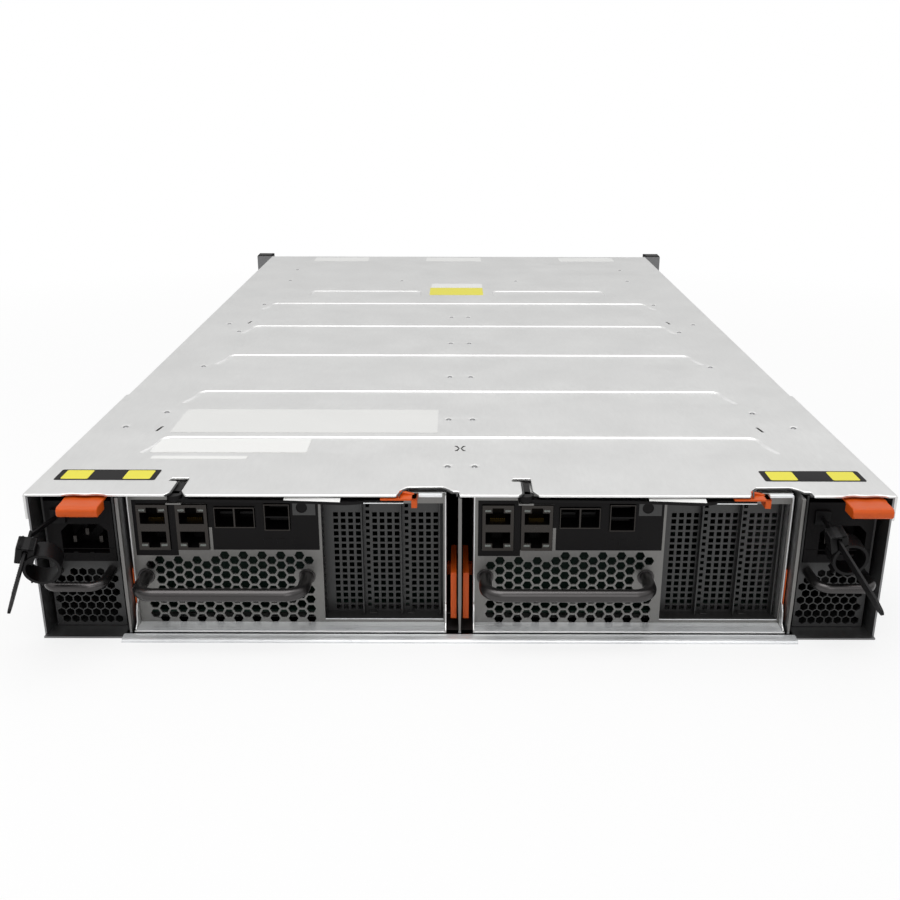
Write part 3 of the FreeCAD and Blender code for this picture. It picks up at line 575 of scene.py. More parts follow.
def scallop_points(side):
    """Outline of the relief over a power supply's latch."""
    mid = psu_x0[side] + psu_w - 11.5
    return [(mid + dx, dy) for dx, dy in
            ((-11.4, 0.0), (-9.6, 1.1), (-5.6, 1.7), (0.0, 0.8), (5.6, 1.7), (9.6, 1.1),
             (11.4, 0.0))]


def lip_band(bm, points, near, far):
    """A narrow band that follows an outline at a distance, for a rolled lip inside a notch."""
    def offset(d):
        out = []
        for (ax, ay), (bx, by), (cx, cy) in zip(points, points[1:], points[2:]):
            first = Vector((by - ay, ax - bx)).normalized()
            second = Vector((cy - by, bx - cx)).normalized()
            mid = (first + second).normalized()
            reach = d / max(0.5, mid.dot(first))
            out.append((bx + mid.x * reach, by + mid.y * reach, lid_top - sheet_t))
        return out
    prism(bm, offset(near) + offset(far)[::-1], (0, 0, 0.7), 0.1)


class ARRAY_OT_cover(bpy.types.Operator):
    """Top cover with its pressed ribs, dimples, finger notches and lever slots"""
    bl_idname = "array.cover"
    bl_label = "Top cover"

    def execute(self, context):
        bm = new_shape()
        self.press_all(bm)
        self.fill_lid(bm)
        thicken(bm, bm.faces[:], (0, 0, -lid_t))
        for x in (-skirt_x, skirt_x - skirt_t):
            block(bm, (x, 0.0, lid_low.z), (x + skirt_t, skirt_len, lid_top - sheet_t * 0.55),
                  size("edge"))
        finish_piece(bm, "cover", "chassis", "zinc_sheet", ("top_cover",))
        # Darker discs in the dimples: painted shade of the pressed dimples
        bm = new_shape()
        for x, y in dimples:
            disc(bm, (x, y, lid_top - 0.85), (0, 0, 1), dimple_shade_r, 0.8, 16, 1.3)
        finish_piece(bm, "cover_rivets", "chassis", "wall_steel_painted_shade")
        # Rolled lips along the notch and slot edges, in dark steel whose colour paints the shadow
        # along those edges
        bm = new_shape()
        for side in SIDES:
            points = notch_points(can_x0[side])
            x, end = points[0][0], points[-1][0]
            lip_band(bm, [(x, -1.0), (x, 0.2)] + points[1:-1] + [(end, 0.2), (end, -1.0)], 0.7, 1.5)
            points = slot_points(can_x0[side])[:3]
            lip_band(bm, [(points[0][0] - 0.5, -1.0)] + points + [(points[2][0], 21.0)], 0.3, 1.0)
        finish_piece(bm, "notch_lips", "chassis", "slot_steel_painted_shade")
        return {"FINISHED"}

    def press_all(self, bm):
        """Ribs, short bands and dimples, each a pressed island, and the slits' rims."""
        depth, run = size("rib_depth"), size("rib_run")
        for y in rib_ys:
            waist = y - rib_len * 0.45
            points = [(-rib_near_x, y - rib_len), (rib_near_x, y - rib_len), (rib_far_x, waist),
                      (rib_far_x, y), (-rib_far_x, y), (-rib_far_x, waist)]
            face = round_face(bm, [(px, py, lid_top) for px, py in points],
                              ((5.0, (2, 5)), (7.0, (3, 4)), (2.0, (0, 1))))
            press(bm, face, run, depth)
        for x0, x1 in emboss_xs:
            face = round_face(bm, corners(x0, x1, *emboss_y, lid_top), ((6.0, range(4)),))
            press(bm, face, run, depth)
        for x, y in dimples:
            made = bmesh.ops.create_circle(bm, cap_ends=True, segments=14, radius=dimple_r,
                                           matrix=Matrix.Translation((x, y, lid_top)))["verts"]
            press(bm, made[0].link_faces[0], dimple_r * 0.8, dimple_depth, 3)
        for x, y in slit_places:
            lean = -math.copysign(0.8, x)
            rim(bm, [(x + way * lean + px, y + way * slit_reach, lid_top) for way, px in
                     ((-1, -slit_half), (-1, slit_half), (1, slit_half), (1, -slit_half))])

    def fill_lid(self, bm):
        """The sheet between the pressed islands and the outline, whose edge rolls down a little."""
        outline = [(-skirt_x, 0.0)] + scallop_points("left")
        outline += slot_points(can_x0["left"]) + notch_points(can_x0["left"])
        outline += slot_points(can_x0["right"]) + notch_points(can_x0["right"])
        outline += scallop_points("right") + [(skirt_x, 0.0)]
        last = len(outline) - 1
        body_x = skirt_x - skirt_t
        outline += [(skirt_x, skirt_len), (body_x, skirt_len + 1.5), (body_x, lid_back),
                    (-body_x, lid_back), (-body_x, skirt_len + 1.5), (-skirt_x, skirt_len)]
        known = set(bm.faces)
        lid = round_face(bm, [(x, y, lid_top) for x, y in outline],
                         ((0.9, range(1, last)), (1.3, (0, last))), 3)
        edge = 2 * size("edge")
        for drop in (0.4, 0.12):
            bmesh.ops.inset_region(bm, faces=[lid], thickness=edge / 2, depth=0.0,
                                   use_even_offset=True, use_boundary=True)
            rings = {v for f in bm.faces if f not in known and f is not lid for v in f.verts}
            bmesh.ops.translate(bm, verts=list(rings - set(lid.verts)), vec=(0, 0, -drop * edge))
        bmesh.ops.delete(bm, geom=[lid], context="FACES_ONLY")
        level = [e for e in bm.edges if len(e.link_faces) < 2
                 and all(abs(v.co.z - lid_top) < 0.01 for v in e.verts)]
        bmesh.ops.triangle_fill(bm, use_beauty=True, use_dissolve=False, edges=level)


class ARRAY_OT_case(bpy.types.Operator):
    """Outer case, walls between the bays, midplane, drive cage and the bright sill"""
    bl_idname = "array.case"
    bl_label = "Case and sill"

    def execute(self, context):
        for node in ("chassis_tray", "bay_dividers", "drive_cage"):
            dress_node(node, "wall_steel_painted_shade")
        dress_node("midplane_board", "solder_mask")
        lo, hi = low("rear_sill"), high("rear_sill")
        lip, groove, floor = 1.2, -0.6, lo.z + 0.2
        profile = [(hi.y, floor), (hi.y, floor + 0.6), (groove, floor + 0.6), (groove, hi.z),
                   (lo.y + 1.6, hi.z), (lo.y + 0.5, hi.z - 0.4), (lo.y, hi.z - 1.2), (lo.y, lo.z),
                   (lo.y + lip, lo.z), (lo.y + lip, floor)]
        # The sill takes the near-white bright steel: painted highlight of the floor it reflects
        bm = new_shape()
        prism(bm, [(lo.x, y, z) for y, z in profile], (hi.x - lo.x, 0, 0), 0.15)
        finish_piece(bm, "sill", "chassis", "bright_steel", ("rear_sill",))
        bm = new_shape()
        lo, hi = low("bay_dividers"), high("bay_dividers")
        for x in (lo.x + 0.6, 0.0, hi.x - 0.6):
            outline = [(-0.95, 20.0), (-0.95, hi.z), (0.95, hi.z), (0.95, 20.0), (0.55, 3.4),
                       (-0.55, 3.4)]
            prism(bm, [(x + px, lo.y - 0.4, pz) for px, pz in outline], (0, 3.0, 0), 0.3)
        finish_piece(bm, "divider_hems", "chassis", "grille_steel_painted_shade")
        return {"FINISHED"}


class ARRAY_OT_end_caps(bpy.types.Operator):
    """Moulded caps in front of the rack ears, with wells over the rack screws"""
    bl_idname = "array.end_caps"
    bl_label = "End caps"

    def execute(self, context):
        well, wall = 13.0, 2.0
        for side in SIDES:
            node = "end_cap_" + side
            lo, hi = low(node), high(node)
            bm = new_shape()
            window(bm, lo.x, hi.x, hi.y, lo.z, hi.z)
            for z in (19.2, 63.6):
                hole(bm, (lo.x + hi.x) / 2, hi.y, z, well, 4, 45)
            fill_plate(bm, (0, -wall, 0))
            for x0, x1, z0, z1 in open_box(lo, hi, wall, wall):
                block(bm, (x0, lo.y, z0), (x1, hi.y - 1.2, z1), 0.6)
            finish_piece(bm, side + "_end_cap", "chassis", "black_plastic",
                         (node,))
        return {"FINISHED"}


# Canisters, worked out from the lower left corner of each

def vent_places():
    """Centres of a canister's hexagonal holes."""
    for i in range(vent_cols):
        for j in range(vent_rows + 1):
            x = vent_x0 + i * vent_col
            z = vent_z0 + j * vent_row + (1 - i % 2) * vent_row / 2
            under_jacks = x < jack_xs[1] + jack_size[0] + 6.0
            near = min(math.hypot(x - leg, z - grip_z) for leg in grip_xs)
            if z < (42.0 if under_jacks else 45.0) and near > vent_clear:
                yield x, z


def port_window(bm, port, y):
    """The rim of an opening around a port, a little larger than the port."""
    x, z, (w, h) = port
    window(bm, x - port_room, x + w + port_room, y, z - port_room, z + h + port_room)


class ARRAY_OT_canister_faces(bpy.types.Operator):
    """Perforated faces of the canisters, their recessed slot bays and blank slot covers"""
    bl_idname = "array.canister_faces"
    bl_label = "Canister faces"

    def execute(self, context):
        for side in SIDES:
            self.face(side, "canister_" + side, can_x0[side])
            self.bay(side, "canister_" + side, can_x0[side])
        return {"FINISHED"}

    def face(self, side, body, at):
        bm = new_shape()
        window(bm, side_sheet, can_w - side_sheet, face_y, can_z0 + floor_sheet, can_top - 0.3)
        for x, z in vent_places():
            hole(bm, x, face_y, z, vent_flat, 6, 30)
        for port in PORTS:
            port_window(bm, port, face_y)
        window(bm, *bay_x, face_y, *bay_z)
        fill_plate(bm, (0, face_t, 0))
        shelf = low(f"canister_{side}_lever").z - 1.2
        block(bm, (pivot_x - 4, 1.0, shelf), (pivot_x + 4, face_y, shelf + 0.9), 0.2)
        finish_piece(bm, side + "_face", body, "grille_steel_painted_shade",
                     (f"canister_{side}_face",), at)
        bm = new_shape()
        disc(bm, (pivot_x, pivot_y, shelf), (0, 0, 1), 1.5, 2.9)
        block(bm, (bay_x[0], face_y + 0.2, bay_z[0] - 0.8),
              (bay_x[1], face_y + 0.6, bay_z[0] + 0.5), 0.15)
        # A thin bright sheet over the floor in front of the face: painted highlight of the floor's
        # front lip
        block(bm, (1.2, 0.2, can_z0 + 0.88), (can_w - 1.2, face_y - 0.1, can_z0 + 1.12), 0.05)
        finish_piece(bm, side + "_bay_lip", body, "bright_steel", (), at)

    def bay(self, side, body, at):
        bm = new_shape()
        x, back = bay_x[0] - side_sheet, face_y + face_t
        for z in (bay_z[0] - side_sheet, bay_z[1]):
            block(bm, (x, back, z), (bay_x[1], blank_y, z + side_sheet))
        slots = [(back + 2.6, back + 7.0, z - 1.4, z + 1.4) for z in grid_zs]
        for y0, y1, z0, z1 in [(back, blank_y, *bay_z)] + slots:
            rim(bm, [(x, y0, z0), (x, y1, z0), (x, y1, z1), (x, y0, z1)])
        fill_plate(bm, (side_sheet, 0, 0))
        finish_piece(bm, side + "_bay_walls", body, "slot_steel_painted_shade", (), at)
        bm = new_shape()
        window(bm, x, can_w - side_sheet - 0.3, blank_y, bay_z[0] - side_sheet,
               bay_z[1] + side_sheet)
        for k in range(3):
            for i in range(grid_cols):
                for z in grid_zs:
                    hole(bm, grid_x0 + k * slot_pitch + i * grid_col, blank_y, z, grid_hole, 4, 45)
            for j in range(grid_rows + 1) if k < 2 else ():
                hole(bm, strip_x + k * slot_pitch, blank_y, grid_z0 + (j + 0.4) * grid_row,
                     strip_hole, 4, 45)
        fill_plate(bm, (0, blank_t, 0))
        for k in range(3):
            x = fold_x + k * slot_pitch
            block(bm, (x, blank_y - fold_out, bay_z[0] + 0.3),
                  (x + 0.8, blank_y + 0.2, bay_z[1] - 0.3), 0.25)
            block(bm, (x + 3.6, blank_y - 4.0, bay_z[0]), (x + 7.4, blank_y, bay_z[0] + 0.8), 0.2)
        finish_piece(bm, side + "_slot_covers", body, "slot_steel_painted_shade",
                     (f"canister_{side}_blanks",), at)


class ARRAY_OT_canister_casings(bpy.types.Operator):
    """Folded trays and lids of the canisters and their orange touch strips"""
    bl_idname = "array.canister_casings"
    bl_label = "Canister casings"

    def execute(self, context):
        for side in SIDES:
            body, at = "canister_" + side, can_x0[side]
            bm = new_shape()
            edge = size("edge")
            block(bm, (0, 0, can_z0), (can_w, can_end, can_z0 + floor_sheet), edge)
            for x in (0.0, can_w - side_sheet):
                block(bm, (x, 9.0, can_z0), (x + side_sheet, can_end, can_top - side_sheet), edge)
                outline = [(1.0, can_z0), (10.0, can_z0), (10.0, 16.5), (7.4, 16.0), (5.6, 12.5),
                           (4.6, 6.0), (2.4, 4.6)]
                prism(bm, [(x, y, z) for y, z in outline], (side_sheet, 0, 0), 0.2)
            block(bm, (0, face_y + 1.3, can_top - side_sheet), (can_w, can_end, can_top), edge)
            block(bm, (1, can_end - 0.8, can_z0), (can_w - 1, can_end, 7.7))
            finish_piece(bm, side + "_casing", body, "zinc_sheet",
                         (f"canister_{side}_casing",), at)
            bm = new_shape()
            outer, inner, way = (-touch_t, can_w, 1) if side == "left" else (can_w, 0.0, -1)
            block(bm, (outer, 9.0, 6.0), (outer + touch_t, 16.0, 36.0), 0.25)
            leaf = sorted((inner + way * touch_off, inner + way * (touch_off + touch_reach)))
            block(bm, (leaf[0], 7.0, 7.5), (leaf[1], 42.0, 35.0), 0.3)
            arm = sorted((inner, inner + way * (touch_off + 0.3)))
            block(bm, (arm[0], 38.0, 18.0), (arm[1], 42.0, 25.0), 0.2)
            finish_piece(bm, side + "_touch_strips", body, "orange_plastic", (),
                         at)
        return {"FINISHED"}


# Network jacks: middle, foot and whether the mouth opens up (1) or down (-1)
JACKS = [(x + jack_size[0] / 2, jack_z + z, way) for x in jack_xs
         for z, way in zip(jack_mouth_z, (-1, 1))]
usb_span = (PORTS[3][0] + 0.5, PORTS[3][0] + usb_size[0] - 0.5)


def jack_mouth_points(x, z, way, y):
    """Mouth of one network jack with its key step."""
    w, h = jack_mouth
    key, step = jack_key
    return [(x + px, y, z + way * pz) for px, pz in
            ((-w / 2, 0), (w / 2, 0), (w / 2, h), (key / 2, h), (key / 2, h + step),
             (-key / 2, h + step), (-key / 2, h), (-w / 2, h))]


def port_plate(y, mouths, depth):
    """A plate of all ports' outlines, open at the jacks' mouths and at the given mouths."""
    bm = new_shape()
    for x, z, (w, h) in PORTS:
        window(bm, x, x + w, y, z, z + h)
    for jack in JACKS:
        rim(bm, jack_mouth_points(*jack, y))
    for x0, x1, z0, z1 in mouths:
        window(bm, x0, x1, y, z0, z1)
    fill_plate(bm, (0, depth, 0))
    return bm


class ARRAY_OT_ports(bpy.types.Operator):
    """Network jacks, expansion and USB ports, the black port film and the logic boards"""
    bl_idname = "array.ports"
    bl_label = "Ports"

    def execute(self, context):
        for side in SIDES:
            self.ports(side, "canister_" + side, can_x0[side])
            self.film(side, "canister_" + side, can_x0[side])
            self.boards(side, "canister_" + side, can_x0[side])
        return {"FINISHED"}

    def ports(self, side, body, at):
        sas_x = PORTS[2][0]
        mouths = []
        for k in (0.25, 0.75):
            x, z = sas_x + sas_size[0] * k, sas_z + sas_size[1] / 2
            mouths.append((x - 4.9, x + 4.9, z - 5.3, z + 5.3))
            z = usb_z + usb_size[1] * k
            mouths.append((*usb_span, z - 3.3, z + 3.3))
        usb_mouth = (*usb_span, usb_z + 0.5, usb_z + usb_size[1] - 0.5)
        bm = port_plate(port_y, mouths[::2] + [usb_mouth], 0.7)
        finish_piece(bm, side + "_port_frames", body, "cage_steel_painted_shade", (), at)
        y, depth = port_y + 0.7, 13.0
        bm = port_plate(y, mouths, depth)
        for x, z, (w, h) in PORTS:
            block(bm, (x, y + depth, z), (x + w, y + depth + 8.0, z + h))
        for x0, x1, z0, z1 in mouths:
            mid = (z0 + z1) / 2
            block(bm, (x0 + 1.2, y + 6.0, mid - 0.6), (x1 - 1.2, y + depth, mid + 0.8), 0.15)
        finish_piece(bm, side + "_port_sockets", body, "black_plastic",
                     (f"canister_{side}_board",), at)
        bm, guides = new_shape(), new_shape()
        for mid, z, way in JACKS:
            z0, z1 = sorted((z + way * 0.2, z + way * 0.9))
            for k in range(8):
                x = mid - 3.6 + k * 1.03
                block(bm, (x - 0.2, port_y + 6.5, z0), (x + 0.2, port_y + 12.0, z1))
            z += way * (jack_mouth[1] + 1.3)
            for x in (mid - 5.2, mid + 5.2):
                block(guides, (x - 1.6, port_y - 0.15, z - 0.6), (x + 1.6, port_y + 0.5, z + 0.6),
                      0.2)
        finish_piece(bm, side + "_jack_contacts", body, "gilded_contact", (), at)
        finish_piece(guides, side + "_jack_lights", body, "light_guide", (), at)

    def film(self, side, body, at):
        y = face_y - 0.25
        outline = [(2.4, 43.6), (24.9, 43.6), (24.9, 73.7), (42.1, 73.7), (42.1, 60.0),
                   (43.8, 60.0), (43.8, 47.0), (100.4, 47.0), (100.4, 75.6), (2.4, 75.6)]
        bm = new_shape()
        rim(bm, [(px, y, pz) for px, pz in outline])
        for port in (PORTS[0], *PORTS[2:]):
            port_window(bm, port, y)
        fill_plate(bm, (0, 0.2, 0))
        finish_piece(bm, side + "_port_film", body, "black_label", (), at)
        bm = new_shape()
        window(bm, 87.0, 99.0, y - 0.35, 67.3, 75.0)
        hole(bm, 91.8, y - 0.35, 71.6, 6.0, 20)
        fill_plate(bm, (0, 0.3, 0))
        finish_piece(bm, side + "_key_plate", body, "slot_steel_painted_shade", (), at)
        bm = new_shape()
        for x, z, w, h in ((73.0, 52.0, 4.2, 3.4), (80.0, 52.0, 4.2, 3.4), (90.0, 49.0, 6.0, 1.6),
                           (88.4, 53.4, 2.0, 2.0)):
            block(bm, (x - w / 2, y - 0.12, z - h / 2), (x + w / 2, y + 0.1, z + h / 2), 0.1)
        finish_piece(bm, side + "_status_windows", body, "black_plastic", (), at)

    def boards(self, side, body, at):
        board, chips = 8.0, 9.6
        bm = new_shape()
        for lo, hi in (((3, blank_y + 1.4, board), (can_w - 3, can_end - 0.3, chips)),
                       ((3, face_y + 2.6, board), (port_w - 2, blank_y + 1.6, chips)),
                       ((3, 32.8, chips), (port_w, 34.4, 74.0))):
            block(bm, lo, hi, 0.2)
        finish_piece(bm, side + "_logic_board", body, "solder_mask", (), at)
        bm = new_shape()
        block(bm, (20, 150, chips), (90, 230, chips + 5), 0.3)
        for k in range(24):
            x = 20.4 + k * 3.0
            block(bm, (x, 150.5, chips + 5), (x + 0.7, 229.5, 37.6))
        finish_piece(bm, side + "_heat_sink", body, "grille_steel_painted_shade", (), at)
        bm = new_shape()
        for k in range(4):
            x = 104 + k * 9.0
            block(bm, (x, 140, chips), (x + 3.0, 273, 14.0), 0.3)
            block(bm, (x + 0.9, 142, 12.0), (x + 2.1, 271, 40.6), 0.1)
        block(bm, (20, 330, chips), (90, 430, chips + 26), 2.0, 3)
        finish_piece(bm, side + "_memory_and_battery", body, "black_plastic", (),
                     at)


class ARRAY_OT_handles(bpy.types.Operator):
    """Bent bar handles of the canisters and power supplies"""
    bl_idname = "array.handles"
    bl_label = "Handles"

    def execute(self, context):
        for side in SIDES:
            bm = new_shape()
            bent_bar(bm, *grip_xs, face_y, grip_z, grip_out, grip_r, grip_bend)
            for x in grip_xs:
                verts = disc(bm, (x, face_y - 1.2, grip_z), (0, 1, 0), grip_r + 1.0, 1.2)
                soften(bm, edges_of(verts, level=1), 0.4)
            finish_piece(bm, side + "_canister_handle", "canister_" + side, "handle_coating",
                         (f"canister_{side}_handle",), can_x0[side])
            bm = new_shape()
            bent_bar(bm, *bar_xs, psu_face, bar_z, bar_out, bar_r, bar_bend)
            finish_piece(bm, side + "_power_handle", "power_" + side, "handle_coating",
                         (f"power_{side}_handle",), psu_x0[side])
        return {"FINISHED"}


class ARRAY_OT_levers(bpy.types.Operator):
    """Release levers of the canisters, their orange finger latches and bare white labels"""
    bl_idname = "array.levers"
    bl_label = "Levers and latches"

    def execute(self, context):
        for side in SIDES:
            self.lever(side, f"canister_{side}_lever", can_x0[side])
            self.latch(side, f"canister_{side}_latch", can_x0[side])
        return {"FINISHED"}

    def lever(self, side, node, at):
        floor, top = low(node).z, high(node).z
        bm = new_shape()
        verts = disc(bm, (pivot_x, pivot_y, floor), (0, 0, 1), 4.0, top - floor)
        soften(bm, edges_of(verts, level=2), 0.3)
        arm = [(pivot_x, 2.2), (84.0, 0.7), (116.0, -2.0), (122.0, -1.2), (126.0, 0.6),
               (146.0, 0.6), (146.0, 7.2), (pivot_x, 7.2)]
        prism(bm, [(x, y, floor) for x, y in arm], (0, 0, arm_h), 0.2)
        tooth = [(-2.5, 5.0), (2.5, 5.0), (2.5, 20.0), (1.8, 20.5), (-1.8, 20.5), (-2.5, 20.0)]
        prism(bm, [(pivot_x + dx, y, top - 1.4) for dx, y in tooth], (0, 0, 1.4), 0.2)
        finish_piece(bm, side + "_lever", node, "black_steel", (node,), at)
        # A bright strip along the lever's lower front edge: painted highlight of that edge
        bm = new_shape()
        block(bm, (123.8, 0.3, floor), (146.0, 0.7, floor + 0.5), 0.1)
        finish_piece(bm, side + "_lever_edge", node, "bright_steel", (), at)
        start = 84.4 if side == "left" else 90.0
        slope, along = Vector((0, 3.3, 0.95)), Vector((29.2, -2.0, -0.2))
        corner = Vector((start, -0.95, floor + 2.35))
        bm = new_shape()
        prism(bm, [corner, corner + along, corner + along + slope, corner + slope], (0, 0, 0.12))
        finish_piece(bm, side + "_lever_label", node, "white_label", (), at)
        seat, under = floor + arm_h - 0.2, Vector((0, 0, 0.02))
        bm = new_shape()
        prism(bm, [corner - under, corner + slope - under, (corner.x, corner.y + slope.y, seat),
                   (corner.x, corner.y + 0.6, seat)], along)
        finish_piece(bm, side + "_label_rest", node, "black_steel", (), at)

    def latch(self, side, node, at):
        lo, hi = low(node), high(node)
        a, b = latch_x
        bm = new_shape()
        block(bm, (a, lo.y, hi.z - 1.6), (b + latch_hook, hi.y, hi.z - 0.5), 0.3)
        block(bm, (b, lo.y, lo.z), (b + latch_hook, hi.y, hi.z - 0.5), 0.3)
        ridge = [(b - 14.0, hi.z - 0.6), (b - 9.0, hi.z + 1.4), (b - 6.5, hi.z + 1.4),
                 (b + 1.6, hi.z - 0.6)]
        prism(bm, [(x, hi.y - 2.6, z) for x, z in ridge], (0, 2.6, 0), 0.2)
        finish_piece(bm, side + "_finger_latch", node, "orange_plastic", (node,),
                     at)
        bm = new_shape()
        block(bm, (153.6, 4.6, 79.6), (166.0, 7.6, 81.0), 0.3)
        finish_piece(bm, side + "_notch_strip", "canister_" + side, "bright_steel",
                     (), at)


# Power supplies, worked out from the lower left corner of each

def psu_vent_places():
    """Centres of a power supply's hexagonal holes."""
    for j in range(8):
        for i in range(7):
            x = psu_vent_x0 - (j % 2) * psu_vent_col / 2 + i * psu_vent_col
            z = psu_vent_z0 + j * psu_vent_row
            if min(math.hypot(x - leg, z - bar_z) for leg in bar_xs) > bar_r + 2.6:
                yield x, z


class ARRAY_OT_power_cases(bpy.types.Operator):
    """Steel cans of the power supplies with their perforated ends, and the inlet panels"""
    bl_idname = "array.power_cases"
    bl_label = "Power supplies"

    def execute(self, context):
        for side in SIDES:
            self.can(side, "power_" + side, psu_x0[side])
            self.panel(side, "power_" + side, psu_x0[side])
            dress_node(f"power_{side}_fan", "black_plastic")
        return {"FINISHED"}

    def can(self, side, body, at):
        bm = new_shape()
        window(bm, 0, psu_w, psu_face, psu_z0, psu_top)
        window(bm, 1.0, psu_w - 1.0, psu_face, 40.0, psu_top - 0.9)
        for x, z in psu_vent_places():
            hole(bm, x, psu_face, z, psu_vent_flat, 6)
        fill_plate(bm, (0, face_t, 0))
        back, arm_end = psu_face + face_t, 62.0
        for lo, hi in (((0, back, psu_z0), (psu_w, psu_end, psu_z0 + 1)),
                       ((0, back, psu_z0), (1, psu_end, psu_top)),
                       ((psu_w - 1, back, psu_z0), (psu_w, psu_end, psu_top)),
                       ((0, arm_end, psu_top - 1), (psu_w, psu_end, psu_top)),
                       ((0, back, psu_top - 1), (psu_w - 22.3, arm_end, psu_top)),
                       ((0, psu_end - 1, psu_z0), (psu_w, psu_end, psu_top))):
            block(bm, lo, hi, 0.25)
        finish_piece(bm, side + "_power_can", body, "slot_steel_painted_shade",
                     (f"power_{side}_case",), at)

    def panel(self, side, body, at):
        y, x, z = psu_face - 0.6, inlet_x, inlet_z
        w, h, cut = inlet_size[0] / 2, inlet_size[1] / 2, 4.0
        bm = new_shape()
        window(bm, 1.3, psu_w - 1.3, y, *panel_z)
        rim(bm, [(x - w, y, z - h), (x + w, y, z - h), (x + w, y, z + h - cut),
                 (x + w - cut, y, z + h), (x - w + cut, y, z + h), (x - w, y, z + h - cut)])
        fill_plate(bm, (0, 16.0, 0))
        block(bm, (1.3, y + 16.0, panel_z[0]), (psu_w - 1.3, y + 22.0, panel_z[1]))
        block(bm, (1.6, y - 0.25, 47.6), (psu_w - 1.6, y + 0.2, 48.0), 0.1)
        for px, pz, half in ((9.0, 43.6, 0.8), (15.4, 44.6, 1.3), (24.0, 44.6, 1.1),
                             (24.0, 41.6, 0.6)):
            block(bm, (px - half, y - 0.12, pz - half), (px + half, y + 0.1, pz + half), 0.1)
        finish_piece(bm, side + "_inlet_panel", body, "black_plastic",
                     (f"power_{side}_panel",), at)
        bm = new_shape()
        for px, pz in ((x - 7.0, z - 2.2), (x, z + 2.2), (x + 7.0, z - 2.2)):
            block(bm, (px - 1, y + 4.0, pz - 2), (px + 1, y + 16.0, pz + 2), 0.4)
        finish_piece(bm, side + "_inlet_blades", body, "cage_steel_painted_shade", (), at)


class ARRAY_OT_power_latches(bpy.types.Operator):
    """Orange finger pads of the power supplies on their spring arms"""
    bl_idname = "array.power_latches"
    bl_label = "Power latches"

    def execute(self, context):
        pad_top, arm_z = psu_top + 1.5, psu_top + 0.8
        for side in SIDES:
            node = f"power_{side}_latch"
            lo, hi = low(node), high(node)
            profile = [(lo.y + 1.2, lo.z), (lo.y, lo.z + 1.2), (lo.y, pad_top - 1.8),
                       (lo.y + 1.4, pad_top - 0.2), (lo.y + 3.0, pad_top), (-0.4, pad_top),
                       (-0.4, lo.z)]
            bm = new_shape()
            prism(bm, [(lo.x, y, z) for y, z in profile], (hi.x - lo.x, 0, 0), 0.7, 3)
            block(bm, (lo.x, -1.4, arm_z - 0.4), (hi.x, 5.0, arm_z + 0.7), 0.2)
            block(bm, (lo.x + 2, 4.6, arm_z), (hi.x - 2, hi.y, arm_z + 1.0), 0.25)
            block(bm, (lo.x + 2, hi.y - 7.5, psu_top), (hi.x - 2, hi.y, arm_z + 0.5), 0.25)
            finish_piece(bm, side + "_power_latch", node, "orange_plastic",
                         (node,))
        return {"FINISHED"}


# Cord straps: the root lies on the power supply's face, the knee and the tip are seen from it

strap_root = (8.6, 9.4, 67.0)
strap_knees = {"left": (-6.9, -12.0, -2.0), "right": (0.4, 0.0, -1.4)}
strap_tips = {"left": (3.1, -67.0, -15.5), "right": (1.9, -72.0, -12.5)}
strap_half_w, strap_half_t = 3.0, 0.65
tooth_step = 1.8
clamp_at = 12.0
ring_len = 11.0


def strap_frame(side):
    """Root, knee, tip, the straight run's direction and the strap's width direction."""
    root = Vector(strap_root) + Vector((psu_x0[side], 0, 0))
    base = Vector((root.x, 0, root.z))
    knee, tip = base + Vector(strap_knees[side]), base + Vector(strap_tips[side])
    run = (tip - knee).normalized()
    across = (knee - root).cross(tip - knee).normalized()
    if abs(across.x) > abs(across.z):
        across = Vector((1, 0, 0))
    return root, knee, tip, run, across


def lying(centre, along, across):
    """Turns a shape made along X, with its width along Y, to lie along a strap."""
    third = along.cross(across).normalized()
    turn = Matrix((along, third.cross(along), third)).transposed().to_4x4()
    return Matrix.Translation(centre) @ turn


